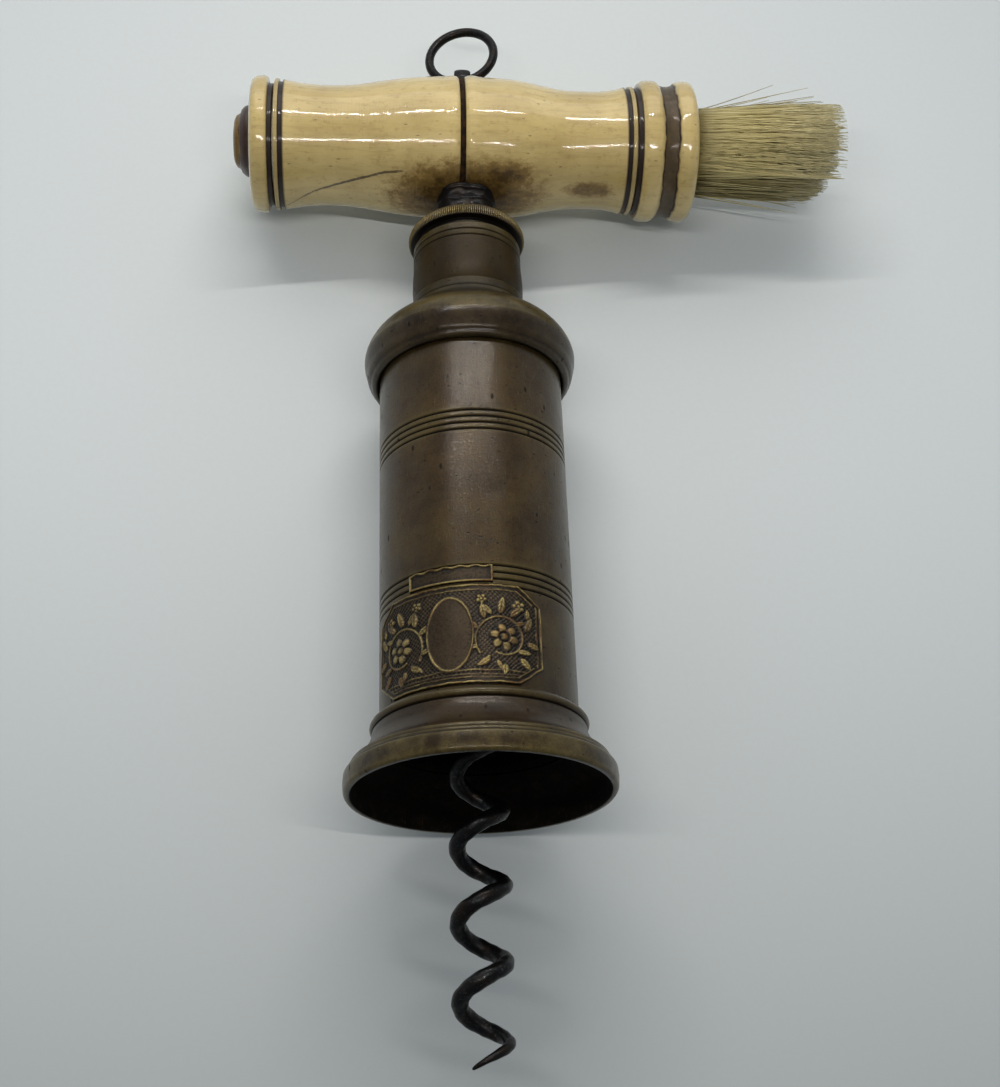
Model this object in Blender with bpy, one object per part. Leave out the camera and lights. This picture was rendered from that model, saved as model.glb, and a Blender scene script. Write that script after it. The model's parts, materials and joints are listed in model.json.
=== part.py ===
"""Double-action corkscrew: bronze barrel with a bell mouth, two nested screws and a bone T-handle.

The outer brass screw has a left-hand thread that runs in the neck of the barrel.
The steel shank has a right-hand thread that runs in a nut inside the outer screw.
Turning the handle drives the worm down, and turning it on lifts the cork into the barrel.

Every piece is modelled in the corkscrew's own axes: Y along the barrel from the mouth
towards the handle, X along the handle towards the brush, Z across both. The whole
assembly then lies down on the bell's rim and on the handle, as it lies on a table.
"""
import math
import random

import bmesh
import bpy
from mathutils import Vector

# Units and the clearances that every seat shares
mm = 0.001
fit_gap = 0.3 * mm           # between two pieces that are fixed together
thread_play = 0.6 * mm       # radial play of the coarse threads
stop_gap = 0.3 * mm          # left at each stop when a screw has run out
overrun = 2.0 * mm           # how far a cutter stands past what it cuts
weld_distance = 0.001 * mm   # corners closer than this are one corner
smooth_angle = math.radians(32)   # facets that meet flatter than this shade as one curve

# Facets round a turned piece
barrel_sides = 28
neck_sides = 24
small_sides = 16
handle_sides = 24
wire_sides = 6

# Barrel tube
barrel_radius = 15.875 * mm
barrel_wall = 1.25 * mm
barrel_length = 74.2 * mm    # from the mouth to the underside of the shoulder
groove_pitch = 1.17 * mm
groove_width = 0.6 * mm
groove_depth = 0.28 * mm
grooves_in_band = 4
upper_band_at = 58.6 * mm
lower_band_at = 30.4 * mm

# Bell mouth
bell_length = 11.8 * mm
bell_rise = 5.675 * mm       # how far the bell stands out past the tube
bell_rim_wall = 1.1 * mm     # left outside the opening
tube_seat_share = 0.68       # where the tube's end sits in the bell
bell_outline_shares = (      # along the bell from the mouth, then from barrel to rim
    (0.0, 0.94), (0.05, 0.975), (0.186, 1.0), (0.28, 0.955), (0.347, 0.815), (0.398, 0.753),
    (0.475, 0.586), (0.542, 0.463), (0.627, 0.339), (0.73, 0.245), (0.84, 0.205),
    (0.885, 0.25), (0.95, 0.24), (1.0, 0.15))
bell_inside_shares = (       # along the bell from the tube's seat, then from bore to mouth
    (0.68, 0.0), (0.551, 0.236), (0.424, 0.562), (0.3, 0.88), (0.127, 0.985), (0.0, 1.0))

# Shoulder cap
cap_length = 17.0 * mm
flange_rise = 2.675 * mm     # how far the flange stands out past the tube
cap_top_radius = 10.1 * mm
cap_socket_depth = 3.3 * mm
cap_outline_shares = (       # along the cap from its underside, then from top radius to flange
    (0.0, 0.77), (0.06, 0.85), (0.118, 0.905), (0.2, 0.975), (0.294, 1.0), (0.418, 0.945),
    (0.506, 0.853), (0.588, 0.7), (0.671, 0.382), (0.765, 0.124), (0.86, 0.03), (1.0, 0.0))
cap_inside_shares = (        # along the cap, then from the neck's hole to the barrel's bore
    (0.42, 0.9), (0.58, 0.4), (0.655, 0.12))

# Threaded neck
neck_radius = 9.75 * mm
neck_length = 12.0 * mm
neck_spigot_radius = 9.2 * mm
neck_spigot_length = 5.6 * mm
neck_groove_width = 0.5 * mm
neck_groove_depth = 0.2 * mm
neck_groove_drops = (1.7 * mm, 3.0 * mm)
neck_chamfer = 0.35 * mm

# Both threads: a long lead so that half a dozen turns draw the cork
thread_lead = 12.0 * mm
rings_per_turn = 12
outer_starts = 3
outer_crest = 7.9 * mm
outer_root = 6.6 * mm
outer_crest_half_turn_share = 0.05
shank_starts = 3
shank_crest = 4.2 * mm
shank_root = 3.3 * mm
shank_crest_half_turn_share = 0.05
screw_rise = 55.0 * mm       # how far the outer screw climbs out of the barrel
shank_rise = 55.0 * mm       # how far the shank climbs out of the outer screw

# Outer screw and what is on it
screw_bore = 5.6 * mm
screw_journal = 6.4 * mm
stop_ring_radius = 9.0 * mm
stop_ring_length = 3.0 * mm
nut_length = 14.0 * mm
head_radius = 10.4 * mm
head_hub_radius = 9.0 * mm
head_hub_height = 0.85 * mm
knurl_height = 1.9 * mm
knurl_depth = 0.22 * mm
knurl_teeth = 176
head_top_radius = 9.7 * mm
head_crown_height = 0.8 * mm

# Shank, worm and boss
collar_radius = 5.15 * mm
collar_length = 3.0 * mm
shank_journal = 3.2 * mm
tang_radius = 3.3 * mm
boss_radius = 5.35 * mm
boss_waist = 4.85 * mm
boss_length = 7.1 * mm       # from the milled head to the belly of the handle
boss_ridges = 3
worm_radius = 4.7 * mm       # outside of the coil
worm_wire = 1.25 * mm        # wire radius
worm_pitch = 11.66 * mm
worm_reach = 41.4 * mm       # how far the point stands out of the mouth
worm_stem_radius = 1.5 * mm
worm_stem_length = 5.0 * mm
worm_blend_turns = 0.6
worm_tip_turn_share = -0.09  # where round the axis the point ends
worm_taper = 16.0 * mm       # length of wire that is drawn to the point
worm_taper_power = 2 / 3     # how full the wire stays along the taper
worm_point_radius = 0.3 * mm
worm_steps_per_turn = 12

# Bone handle, measured from the shank along the handle
handle_radius = 13.15 * mm
bone_wall = 6.15 * mm        # bone left round the marrow hole
line_width = 0.9 * mm        # the dark line round the middle
line_offset = 0.7 * mm       # its middle, towards the button
line_inset = 0.15 * mm
line_end_angle = math.radians(8)   # each arc of the line ends inside the tang's hole
band_rise = 0.15 * mm        # the bands at the ends stand proud of the bone
left_length = 33.9 * mm
right_length = 30.1 * mm
left_outline_shares = (      # along the half from the middle, then of the handle's radius
    (0.12, 1.0), (0.25, 0.983), (0.36, 0.952), (0.48, 0.908), (0.6, 0.864), (0.7, 0.848),
    (0.8, 0.851), (0.9, 0.872), (0.965, 0.898), (1.0, 0.912))
right_outline_shares = (
    (0.12, 0.998), (0.25, 0.985), (0.36, 0.955), (0.49, 0.893), (0.62, 0.843), (0.74, 0.833),
    (0.86, 0.842), (0.94, 0.868), (1.0, 0.905))
small_groove = 0.65 * mm
end_band = 0.95 * mm
joint_groove = 1.05 * mm
handle_groove_depth = 0.45 * mm

# Bone end cap and horn button
end_cap_length = 3.35 * mm
end_cap_step = 0.55 * mm     # how much thinner it is than the handle's middle
end_cap_shares = (           # along the cap from its joint, then of its radius
    (0.0, 0.965), (0.1, 0.99), (0.4, 1.0), (0.72, 0.985), (0.9, 0.95), (1.0, 0.88))
button_radius = 7.6 * mm
button_face_radius = 5.6 * mm
button_height = 3.0 * mm
button_edge_share = 0.3
button_stem_length = 3.55 * mm
button_stem_radius = 6.2 * mm

# Brush end
ferrule_length = 10.45 * mm
ferrule_rise = 0.05 * mm     # how much thicker it is than the handle's middle
ferrule_shares = (           # along the ferrule from its joint, then of its radius
    (0.0, 0.955), (0.077, 0.985), (0.176, 0.998), (0.264, 0.985), (0.314, 0.95), (0.396, 0.93),
    (0.506, 0.924), (0.616, 0.933), (0.682, 0.965), (0.748, 0.99), (0.84, 1.0), (0.925, 0.985),
    (0.975, 0.95), (1.0, 0.895))
ferrule_wall = 4.9 * mm      # bone left round the brush
brush_plug_length = 9.0 * mm
brush_slice = 0.8 * mm
brush_recess = 0.3 * mm      # the slice's face stands this far inside the ferrule
bristle_rings = 10
bristle_sectors = 6          # ring k of the backing has this many times k corners
bristle_length = 29.4 * mm
bristle_edge_drop = 4.4 * mm
bristle_scatter = 1.6 * mm
bristle_lean = 0.2 * mm
bristle_splay_share = 1.16
bristle_tip_share = 0.3
bristle_seed = 7

# Eye and suspension ring on top of the handle
eye_radius = 2.3 * mm
eye_neck_radius = 1.5 * mm
eye_stem_radius = 1.1 * mm
eye_stem_length = 4.0 * mm
eye_hole_radius = 1.42 * mm
eye_washer_radius = 3.0 * mm
eye_washer_thickness = 0.5 * mm
eye_steps = 8
ring_radius = 6.42 * mm      # to the middle of the wire
ring_wire = 0.85 * mm
ring_lift = math.radians(-1.0)   # the ring stands this far out of line with the barrel

# Relief plaque soldered round the barrel
plaque_turn_share = -0.052   # its middle, round the barrel from the top
plaque_half_turn_share = 0.147
plaque_top = 28.7 * mm
plaque_bottom = 12.3 * mm
plaque_cut_along = 3.1 * mm
plaque_cut_turn_share = 0.04
plaque_thickness = 0.35 * mm
plaque_border = 1.1 * mm
plaque_border_height = 0.3 * mm
cartouche_half_height = 6.2 * mm
cartouche_half_turn_share = 0.038
cartouche_height = 0.25 * mm
cartouche_points = 16
banner_top = 32.0 * mm
banner_bottom = 29.1 * mm
banner_half_turn_share = 0.069
banner_thickness = 0.45 * mm
wrap_step = math.radians(6.0)

# Radii and places along the barrel, worked out from the sizes above
barrel_bore = barrel_radius - barrel_wall
bell_radius = barrel_radius + bell_rise
mouth_radius = bell_radius - bell_rim_wall
flange_radius = barrel_radius + flange_rise
end_cap_radius = handle_radius - end_cap_step
ferrule_radius = handle_radius + ferrule_rise
brush_radius = ferrule_radius - ferrule_wall
marrow_radius = handle_radius - bone_wall
tube_start = bell_length * tube_seat_share + fit_gap
cap_base = barrel_length
tube_end = cap_base + cap_socket_depth - fit_gap
cap_top = cap_base + cap_length
neck_shoulder = cap_top + fit_gap
neck_bottom = neck_shoulder - neck_spigot_length
neck_top = neck_shoulder + neck_length
stop_ring_top = neck_bottom - stop_gap - screw_rise
stop_ring_bottom = stop_ring_top - stop_ring_length
head_bottom = neck_top + stop_gap
knurl_bottom = head_bottom + head_hub_height
knurl_top = knurl_bottom + knurl_height
head_top = knurl_top + head_crown_height
screw_thread_bottom = stop_ring_top + fit_gap
screw_thread_top = head_bottom - fit_gap
screw_end = head_top - fit_gap
nut_top = screw_end
nut_bottom = nut_top - nut_length
collar_top = nut_bottom - stop_gap - shank_rise
collar_bottom = collar_top - collar_length
boss_bottom = head_top + stop_gap
handle_at = boss_bottom + boss_length + handle_radius
eye_washer_bottom = handle_at + handle_radius + fit_gap
eye_at = eye_washer_bottom + eye_washer_thickness + fit_gap + eye_radius
tang_top = eye_washer_bottom - fit_gap
worm_stem_top = collar_bottom + fit_gap + worm_stem_length
line_near = -line_offset + line_width / 2
line_far = -line_offset - line_width / 2


def make_material(name, color, roughness, metallic=0.0):
    material = bpy.data.materials.new(name)
    material.use_nodes = True
    shader = material.node_tree.nodes["Principled BSDF"]
    shader.inputs["Base Color"].default_value = (*color, 1.0)
    shader.inputs["Roughness"].default_value = roughness
    shader.inputs["Metallic"].default_value = metallic
    material.diffuse_color = (*color, 1.0)
    return material


def make_axis(name, parent=None, place=(0, 0, 0)):
    axis = bpy.data.objects.new(name, None)
    axis.empty_display_type = 'PLAIN_AXES'
    axis.location = place
    axis.parent = parent
    bpy.context.scene.collection.objects.link(axis)
    return axis


def place_mesh(name, bm, material, parent, place=(0, 0, 0), smooth=True):
    """Turn a bmesh into an object on its parent's axis, with its faces pointing out."""
    bmesh.ops.recalc_face_normals(bm, faces=bm.faces)
    mesh = bpy.data.meshes.new(name)
    bm.to_mesh(mesh)
    bm.free()
    if smooth:
        mesh.shade_smooth()
        mesh.set_sharp_from_angle(angle=smooth_angle)
    mesh.materials.append(material)
    piece = bpy.data.objects.new(name, mesh)
    piece.parent = parent
    piece.location = place
    bpy.context.scene.collection.objects.link(piece)
    return piece


def make_cutter(name, bm, parent, place=(0, 0, 0)):
    """A guide that only cuts its neighbours."""
    bmesh.ops.recalc_face_normals(bm, faces=bm.faces)
    mesh = bpy.data.meshes.new(name)
    bm.to_mesh(mesh)
    bm.free()
    cutter = bpy.data.objects.new(name, mesh)
    cutter.parent = parent
    cutter.location = place
    cutter.hide_render = True
    cutter.display_type = 'WIRE'
    bpy.context.scene.collection.objects.link(cutter)
    return cutter


def cut_with(piece, cutter):
    cut = piece.modifiers.new("cut " + cutter.name, 'BOOLEAN')
    cut.operation = 'DIFFERENCE'
    cut.solver = 'EXACT'
    cut.object = cutter


def turn_outline(outline, sides, along):
    """Spin a closed outline of (place along the axis, radius) points into a bmesh."""
    bm = bmesh.new()
    if along == 'Y':
        corners = [bm.verts.new((radius, place, 0)) for place, radius in outline]
        spin_axis = (0, 1, 0)
    else:
        corners = [bm.verts.new((place, 0, radius)) for place, radius in outline]
        spin_axis = (1, 0, 0)
    on_axis = min(radius for place, radius in outline) == 0
    pairs = list(zip(corners, corners[1:]))
    if not on_axis:
        pairs.append((corners[-1], corners[0]))
    edges = [bm.edges.new(pair) for pair in pairs]
    bmesh.ops.spin(bm, geom=corners + edges, cent=(0, 0, 0), axis=spin_axis,
                   dvec=(0, 0, 0), angle=math.tau, steps=sides, use_merge=True)
    bmesh.ops.remove_doubles(bm, verts=bm.verts, dist=weld_distance)
    return bm


def turn_arc(outline, sides, start, end):
    """Spin a closed outline part of the way round the X axis, and close both ends."""
    bm = bmesh.new()
    corners = [bm.verts.new((place, radius * math.cos(start), radius * math.sin(start)))
               for place, radius in outline]
    edges = [bm.edges.new((corners[k - 1], corners[k])) for k in range(len(corners))]
    bmesh.ops.spin(bm, geom=corners + edges, cent=(0, 0, 0), axis=(1, 0, 0), dvec=(0, 0, 0),
                   angle=end - start, steps=sides)
    bmesh.ops.holes_fill(bm, edges=[edge for edge in bm.edges if edge.is_boundary])
    return bm


def turn_piece(name, outline, sides, material, parent, place=(0, 0, 0), along='Y'):
    return place_mesh(name, turn_outline(outline, sides, along), material, parent, place)


def spread(shares, start, length, low, high):
    """Outline points from shares of a length and shares of the way from low to high."""
    return [(start + length * s, low + (high - low) * r) for s, r in shares]


def circle_section(radius, sides):
    return [(math.tau * k / sides, radius) for k in range(sides)]


def thread_section(starts, crest, root, half_turn_share, turn):
    """One slice of a multi-start thread: two corners on each crest and one in each root."""
    half = math.tau * half_turn_share
    points = []
    for k in range(starts):
        middle = turn + math.tau * k / starts
        points += [(middle - half, crest), (middle + half, crest),
                   (middle + math.pi / starts, root)]
    return points


def thread_slices(bottom, top, hand, starts, crest, root, half_turn_share):
    """Slices of a thread from bottom to top. Hand is 1 for right, -1 for left."""
    count = math.ceil((top - bottom) / thread_lead * rings_per_turn)
    slices = []
    for k in range(count + 1):
        place = bottom + (top - bottom) * k / count
        turn = hand * math.tau * place / thread_lead
        slices.append((place, thread_section(starts, crest, root, half_turn_share, turn)))
    return slices


def stitch(bm, low, high):
    """Fill between two loops that run the same way round the Y axis."""
    if len(low) == 1 or len(high) == 1:
        tip, loop = (low[0], high) if len(low) == 1 else (high[0], low)
        for k, vert in enumerate(loop):
            bm.faces.new((tip, vert, loop[(k + 1) % len(loop)]))
        return
    if len(low) == len(high):
        for k in range(len(low)):
            a, b = low[k], low[(k + 1) % len(low)]
            c, d = high[(k + 1) % len(low)], high[k]
            if (a.co - c.co).length < (b.co - d.co).length:
                bm.faces.new((a, b, c))
                bm.faces.new((a, c, d))
            else:
                bm.faces.new((a, b, d))
                bm.faces.new((b, c, d))
        return
    start = math.atan2(low[0].co.x, low[0].co.z)
    turns = [(math.atan2(v.co.x, v.co.z) - start + math.pi) % math.tau - math.pi for v in high]
    first = min(range(len(high)), key=lambda k: abs(turns[k]))
    high = high[first:] + high[:first]

    def round_from_start(loop):
        angles = [(math.atan2(v.co.x, v.co.z) - start) % math.tau for v in loop[1:]]
        first_turn = (math.atan2(loop[0].co.x, loop[0].co.z) - start + math.pi) % math.tau - math.pi
        return [first_turn] + angles + [first_turn + math.tau]

    low_turns, high_turns = round_from_start(low), round_from_start(high)
    i = j = 0
    while i < len(low) or j < len(high):
        step_low = j == len(high) or (i < len(low) and low_turns[i + 1] <= high_turns[j + 1])
        a, b = low[i % len(low)], high[j % len(high)]
        if step_low:
            bm.faces.new((a, low[(i + 1) % len(low)], b))
            i += 1
        else:
            bm.faces.new((a, high[(j + 1) % len(high)], b))
            j += 1


def skin_slices(slices, closed):
    """A bmesh through slices of (place along Y, [(angle, radius), ...]); radius 0 is a pole."""
    bm = bmesh.new()
    loops = []
    for place, section in slices:
        if section[0][1] == 0:
            loops.append([bm.verts.new((0, place, 0))])
        else:
            loops.append([bm.verts.new((r * math.sin(a), place, r * math.cos(a)))
                          for a, r in section])
    pairs = list(zip(loops, loops[1:]))
    if closed:
        pairs.append((loops[-1], loops[0]))
    for low, high in pairs:
        stitch(bm, low, high)
    return bm


def ring_slices(outline, sides):
    """Plain round slices from (place, radius) points."""
    return [(place, circle_section(radius, sides)) for place, radius in outline]


def groove_points(middle, width, depth, radius):
    """Three points of a V groove, listed along the barrel."""
    return [(middle - width / 2, radius), (middle, radius - depth), (middle + width / 2, radius)]


def grooved_band(middle):
    """Four grooves side by side leave three raised reeds."""
    points = []
    for k in range(grooves_in_band):
        place = middle + (k - (grooves_in_band - 1) / 2) * groove_pitch
        points += groove_points(place, groove_width, groove_depth, barrel_radius)
    return points


def sweep(path, radii, sides):
    """A round wire along a path, with its frame carried along so that it doesn't twist."""
    bm = bmesh.new()
    tangents = []
    for k in range(len(path)):
        ahead, behind = path[min(k + 1, len(path) - 1)], path[max(k - 1, 0)]
        tangents.append((ahead - behind).normalized())
    side = tangents[0].orthogonal().normalized()
    rings = []
    for k, centre in enumerate(path):
        if k:
            side = tangents[k - 1].rotation_difference(tangents[k]) @ side
        other = tangents[k].cross(side)
        ring = []
        for n in range(sides):
            angle = math.tau * n / sides
            offset = side * math.cos(angle) + other * math.sin(angle)
            ring.append(bm.verts.new(centre + offset * radii[k]))
        rings.append(ring)
    for low, high in zip(rings, rings[1:]):
        for n in range(sides):
            bm.faces.new((low[n], low[(n + 1) % sides], high[(n + 1) % sides], high[n]))
    bm.faces.new(rings[0])
    bm.faces.new(rings[-1])
    return bm


# Barrel


def make_barrel_tube(parent, material):
    outline = [(tube_start, barrel_bore), (tube_start, barrel_radius)]
    outline += grooved_band(lower_band_at) + grooved_band(upper_band_at)
    outline += [(tube_end, barrel_radius), (tube_end, barrel_bore)]
    return turn_piece("barrel_tube", outline, barrel_sides, material, parent)


def make_bell_mouth(parent, material):
    seat = bell_length * tube_seat_share
    socket = barrel_radius + fit_gap
    outline = spread(bell_outline_shares, 0, bell_length, barrel_radius, bell_radius)
    outline += [(bell_length, socket), (seat, socket)]
    outline += spread(bell_inside_shares, 0, bell_length, barrel_bore, mouth_radius)
    return turn_piece("bell_mouth", outline, barrel_sides, material, parent)


def make_shoulder_cap(parent, material):
    socket = barrel_radius + fit_gap
    hole = neck_spigot_radius + fit_gap
    outline = spread(cap_outline_shares, cap_base, cap_length, cap_top_radius, flange_radius)
    outline += [(cap_top, hole), (neck_bottom, hole)]
    outline += reversed(spread(cap_inside_shares, cap_base, cap_length, hole, barrel_bore))
    outline += [(cap_base + cap_socket_depth, barrel_bore), (cap_base + cap_socket_depth, socket),
                (cap_base, socket)]
    return turn_piece("shoulder_cap", outline, barrel_sides, material, parent)


def make_threaded_neck(parent, material):
    """The neck is the nut of the outer screw: a left-hand thread runs right through it."""
    outline = [(neck_bottom, neck_spigot_radius), (neck_shoulder, neck_spigot_radius),
               (neck_shoulder, neck_radius)]
    for drop in reversed(neck_groove_drops):
        outline += groove_points(neck_top - drop, neck_groove_width, neck_groove_depth, neck_radius)
    outline += [(neck_top - neck_chamfer, neck_radius), (neck_top, neck_radius - neck_chamfer)]
    thread = thread_slices(neck_bottom, neck_top, -1, outer_starts, outer_crest + thread_play,
                           outer_root + thread_play, outer_crest_half_turn_share)
    slices = ring_slices(outline, neck_sides) + thread[::-1]
    return place_mesh("threaded_neck", skin_slices(slices, True), material, parent)


def wrap_shape(outline, inner_radius, outer_radius):
    """A plate of (angle, place) corners wrapped round the barrel, between two radii."""
    bm = bmesh.new()
    corners = [bm.verts.new((angle, place, 0)) for angle, place in outline]
    face = bm.faces.new(corners)
    low = min(angle for angle, place in outline)
    high = max(angle for angle, place in outline)
    cuts = math.ceil((high - low) / wrap_step)
    for k in range(1, cuts):
        geometry = bm.verts[:] + bm.edges[:] + bm.faces[:]
        bmesh.ops.bisect_plane(bm, geom=geometry, dist=weld_distance,
                               plane_co=(low + (high - low) * k / cuts, 0, 0), plane_no=(1, 0, 0))
    lift = bmesh.ops.extrude_face_region(bm, geom=bm.faces[:] + bm.edges[:] + bm.verts[:])
    for vert in (v for v in lift["geom"] if isinstance(v, bmesh.types.BMVert)):
        vert.co.z = 1
    for vert in bm.verts:
        angle, place, level = vert.co
        radius = inner_radius + (outer_radius - inner_radius) * level
        vert.co = (radius * math.sin(angle), place, radius * math.cos(angle))
    return bm


def plaque_outline(inset):
    """The plaque's octagon, drawn in by an inset, as (angle, place) corners."""
    middle = math.tau * plaque_turn_share
    half = math.tau * plaque_half_turn_share - inset / barrel_radius
    cut = math.tau * plaque_cut_turn_share - inset / barrel_radius / 2
    cut_along = plaque_cut_along - inset / 2
    bottom, top = plaque_bottom + inset, plaque_top - inset
    right = [(half - cut, bottom), (half, bottom + cut_along), (half, top - cut_along),
             (half - cut, top)]
    left = [(-angle, place) for angle, place in reversed(right)]
    return [(middle + angle, place) for angle, place in right + left]


def make_relief_plaque(parent, material):
    """A thin octagonal plate with a raised border and a plain upright oval."""
    back = barrel_radius + fit_gap
    face = back + plaque_thickness
    plate = place_mesh("relief_plaque", wrap_shape(plaque_outline(0), back, face + plaque_border_height),
                       material, parent)
    field = make_cutter("plaque_field", wrap_shape(plaque_outline(plaque_border), face,
                                                   face + overrun), parent)
    middle = math.tau * plaque_turn_share
    height = (plaque_top + plaque_bottom) / 2
    oval = []
    for k in range(cartouche_points):
        angle = math.tau * k / cartouche_points
        oval.append((middle + math.tau * cartouche_half_turn_share * math.sin(angle),
                     height + cartouche_half_height * math.cos(angle)))
    island = make_cutter("plaque_oval", wrap_shape(oval, face - plaque_thickness / 2,
                                                   face + cartouche_height), parent)
    cut_with(plate, field)
    join = plate.modifiers.new("oval", 'BOOLEAN')
    join.operation = 'UNION'
    join.solver = 'EXACT'
    join.object = island
    return plate


def make_banner_strip(parent, material):
    middle = math.tau * plaque_turn_share
    half = math.tau * banner_half_turn_share
    back = barrel_radius + fit_gap
    corners = [(middle - half, banner_bottom), (middle + half, banner_bottom),
               (middle + half, banner_top), (middle - half, banner_top)]
    return place_mesh("banner_strip", wrap_shape(corners, back, back + banner_thickness),
                      material, parent)


# Outer screw


def make_stop_ring(parent, material):
    bore = screw_journal + fit_gap
    outline = [(stop_ring_bottom, bore), (stop_ring_bottom, stop_ring_radius),
               (stop_ring_top, stop_ring_radius), (stop_ring_top, bore)]
    return turn_piece("screw_stop_ring", outline, neck_sides, material, parent)


def make_outer_screw(parent, material):
    """A brass tube with the left-hand thread outside and a plain bore."""
    thread = thread_slices(screw_thread_bottom, screw_thread_top, -1, outer_starts, outer_crest,
                           outer_root, outer_crest_half_turn_share)
    foot = [(stop_ring_bottom, screw_bore), (stop_ring_bottom, screw_journal),
            (screw_thread_bottom, screw_journal)]
    head = [(screw_thread_top, screw_journal), (screw_end, screw_journal), (screw_end, screw_bore)]
    slices = ring_slices(foot, small_sides) + thread + ring_slices(head, small_sides)
    return place_mesh("outer_screw", skin_slices(slices, True), material, parent)


def knurled_section(radius):
    """Fine teeth round the head: a crest and a valley for each."""
    points = []
    for k in range(knurl_teeth):
        points += [(math.tau * k / knurl_teeth, radius),
                   (math.tau * (k + 1 / 2) / knurl_teeth, radius - knurl_depth)]
    return points


def make_milled_head(parent, material):
    bore = screw_journal + fit_gap
    lower = ring_slices([(head_bottom, bore), (head_bottom, head_hub_radius),
                         (knurl_bottom, head_hub_radius)], neck_sides)
    rim = [(knurl_bottom, knurled_section(head_radius)), (knurl_top, knurled_section(head_radius))]
    upper = ring_slices([(head_top, head_top_radius), (head_top, bore)], neck_sides)
    return place_mesh("milled_head", skin_slices(lower + rim + upper, True), material, parent)


def make_inner_nut(parent, material):
    """The nut of the shank: a right-hand thread in a bush at the top of the outer screw."""
    outside = screw_bore - fit_gap
    outline = [(nut_bottom, outside), (nut_top, outside)]
    thread = thread_slices(nut_bottom, nut_top, 1, shank_starts, shank_crest + thread_play,
                           shank_root + thread_play, shank_crest_half_turn_share)
    slices = ring_slices(outline, small_sides) + thread[::-1]
    return place_mesh("inner_nut", skin_slices(slices, True), material, parent)


# Shank, worm and boss


def make_stop_collar(parent, material):
    bore = shank_journal + fit_gap
    outline = [(collar_bottom, bore), (collar_bottom, collar_radius),
               (collar_top, collar_radius), (collar_top, bore)]
    return turn_piece("shank_stop_collar", outline, small_sides, material, parent)


def make_threaded_shank(parent, material):
    """Steel shank: socket for the worm, right-hand thread, then the tang through the handle."""
    socket = worm_stem_radius + fit_gap
    eye_socket = eye_stem_radius + fit_gap
    thread = thread_slices(collar_top + fit_gap, head_top - fit_gap, 1, shank_starts, shank_crest,
                           shank_root, shank_crest_half_turn_share)
    socket_end = worm_stem_top + fit_gap
    foot = [(socket_end, 0), (socket_end, socket), (collar_bottom, socket),
            (collar_bottom, shank_journal), (collar_top + fit_gap, shank_journal)]
    eye_socket_end = tang_top - eye_stem_length - fit_gap
    tang = [(head_top - fit_gap, tang_radius), (tang_top, tang_radius), (tang_top, eye_socket),
            (eye_socket_end, eye_socket), (eye_socket_end, 0)]
    slices = ring_slices(foot, small_sides) + thread + ring_slices(tang, small_sides)
    return place_mesh("threaded_shank", skin_slices(slices, False), material, parent)


def worm_path():
    """Points of the wire from its stem down to the point, and its radius at each.

    The coil is a right-hand helix. Its radius grows from the axis over the first part of a
    turn, and the wire is drawn out to a point along its last stretch.
    """
    coil = worm_radius - worm_wire
    helix_top = collar_bottom - worm_wire
    drop = helix_top + worm_reach
    steps = math.ceil(drop / worm_pitch * worm_steps_per_turn)
    path = [Vector((0, worm_stem_top, 0)), Vector((0, (worm_stem_top + helix_top) / 2, 0))]
    for k in range(steps + 1):
        place = helix_top - drop * k / steps
        turn = math.tau * (worm_tip_turn_share + (place + worm_reach) / worm_pitch)
        blend = min(1, (helix_top - place) / worm_pitch / worm_blend_turns)
        radius = coil * blend * blend * (3 - 2 * blend)
        path.append(Vector((radius * math.sin(turn), place, radius * math.cos(turn))))
    left = [0.0]
    for a, b in zip(path[::-1], path[-2::-1]):
        left.append(left[-1] + (a - b).length)
    radii = []
    for length in reversed(left):
        draw = min(1, length / worm_taper) ** worm_taper_power
        radii.append(worm_point_radius + (worm_wire - worm_point_radius) * draw)
    radii[0] = radii[1] = worm_stem_radius
    return path, radii


def make_worm(parent, material):
    path, radii = worm_path()
    return place_mesh("worm", sweep(path, radii, wire_sides), material, parent)


def make_boss(parent, material, belly):
    """Ridged steel boss between the head and the handle, saddled to the handle's belly."""
    bore = tang_radius + fit_gap
    top = handle_at - handle_radius + boss_radius
    outline = [(boss_bottom, bore)]
    ridge = boss_length / boss_ridges
    for k in range(boss_ridges):
        foot = boss_bottom + ridge * k
        outline += [(foot, boss_waist if k else boss_radius), (foot + ridge / 2, boss_radius)]
    outline += [(top, boss_radius), (top, bore)]
    boss = turn_piece("boss", outline, neck_sides, material, parent)
    cut_with(boss, belly)
    return boss


# Handle


def handle_half(name, outline, parent, material, tang_hole):
    """A bone half: the outline's points, closed by the marrow hole."""
    closed = outline + [(outline[-1][0], marrow_radius), (outline[0][0], marrow_radius)]
    half = turn_piece(name, closed, handle_sides, material, parent, (0, handle_at, 0), 'X')
    cut_with(half, tang_hole)
    return half


def end_of_half(direction, length, share):
    """The small groove and the band that end a bone half."""
    edge = handle_radius * share
    places = [length, length + small_groove, length + small_groove + end_band]
    return [(direction * places[0], edge - handle_groove_depth),
            (direction * places[1], edge - handle_groove_depth),
            (direction * places[1], edge + band_rise),
            (direction * places[2], edge + band_rise)]


def make_bone_left(parent, material, tang_hole):
    start = line_far - fit_gap
    outline = [(start, handle_radius)]
    outline += [(-left_length * s, handle_radius * r) for s, r in left_outline_shares]
    outline += end_of_half(-1, left_length, left_outline_shares[-1][1])
    return handle_half("handle_bone_left", outline, parent, material, tang_hole)


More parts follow.
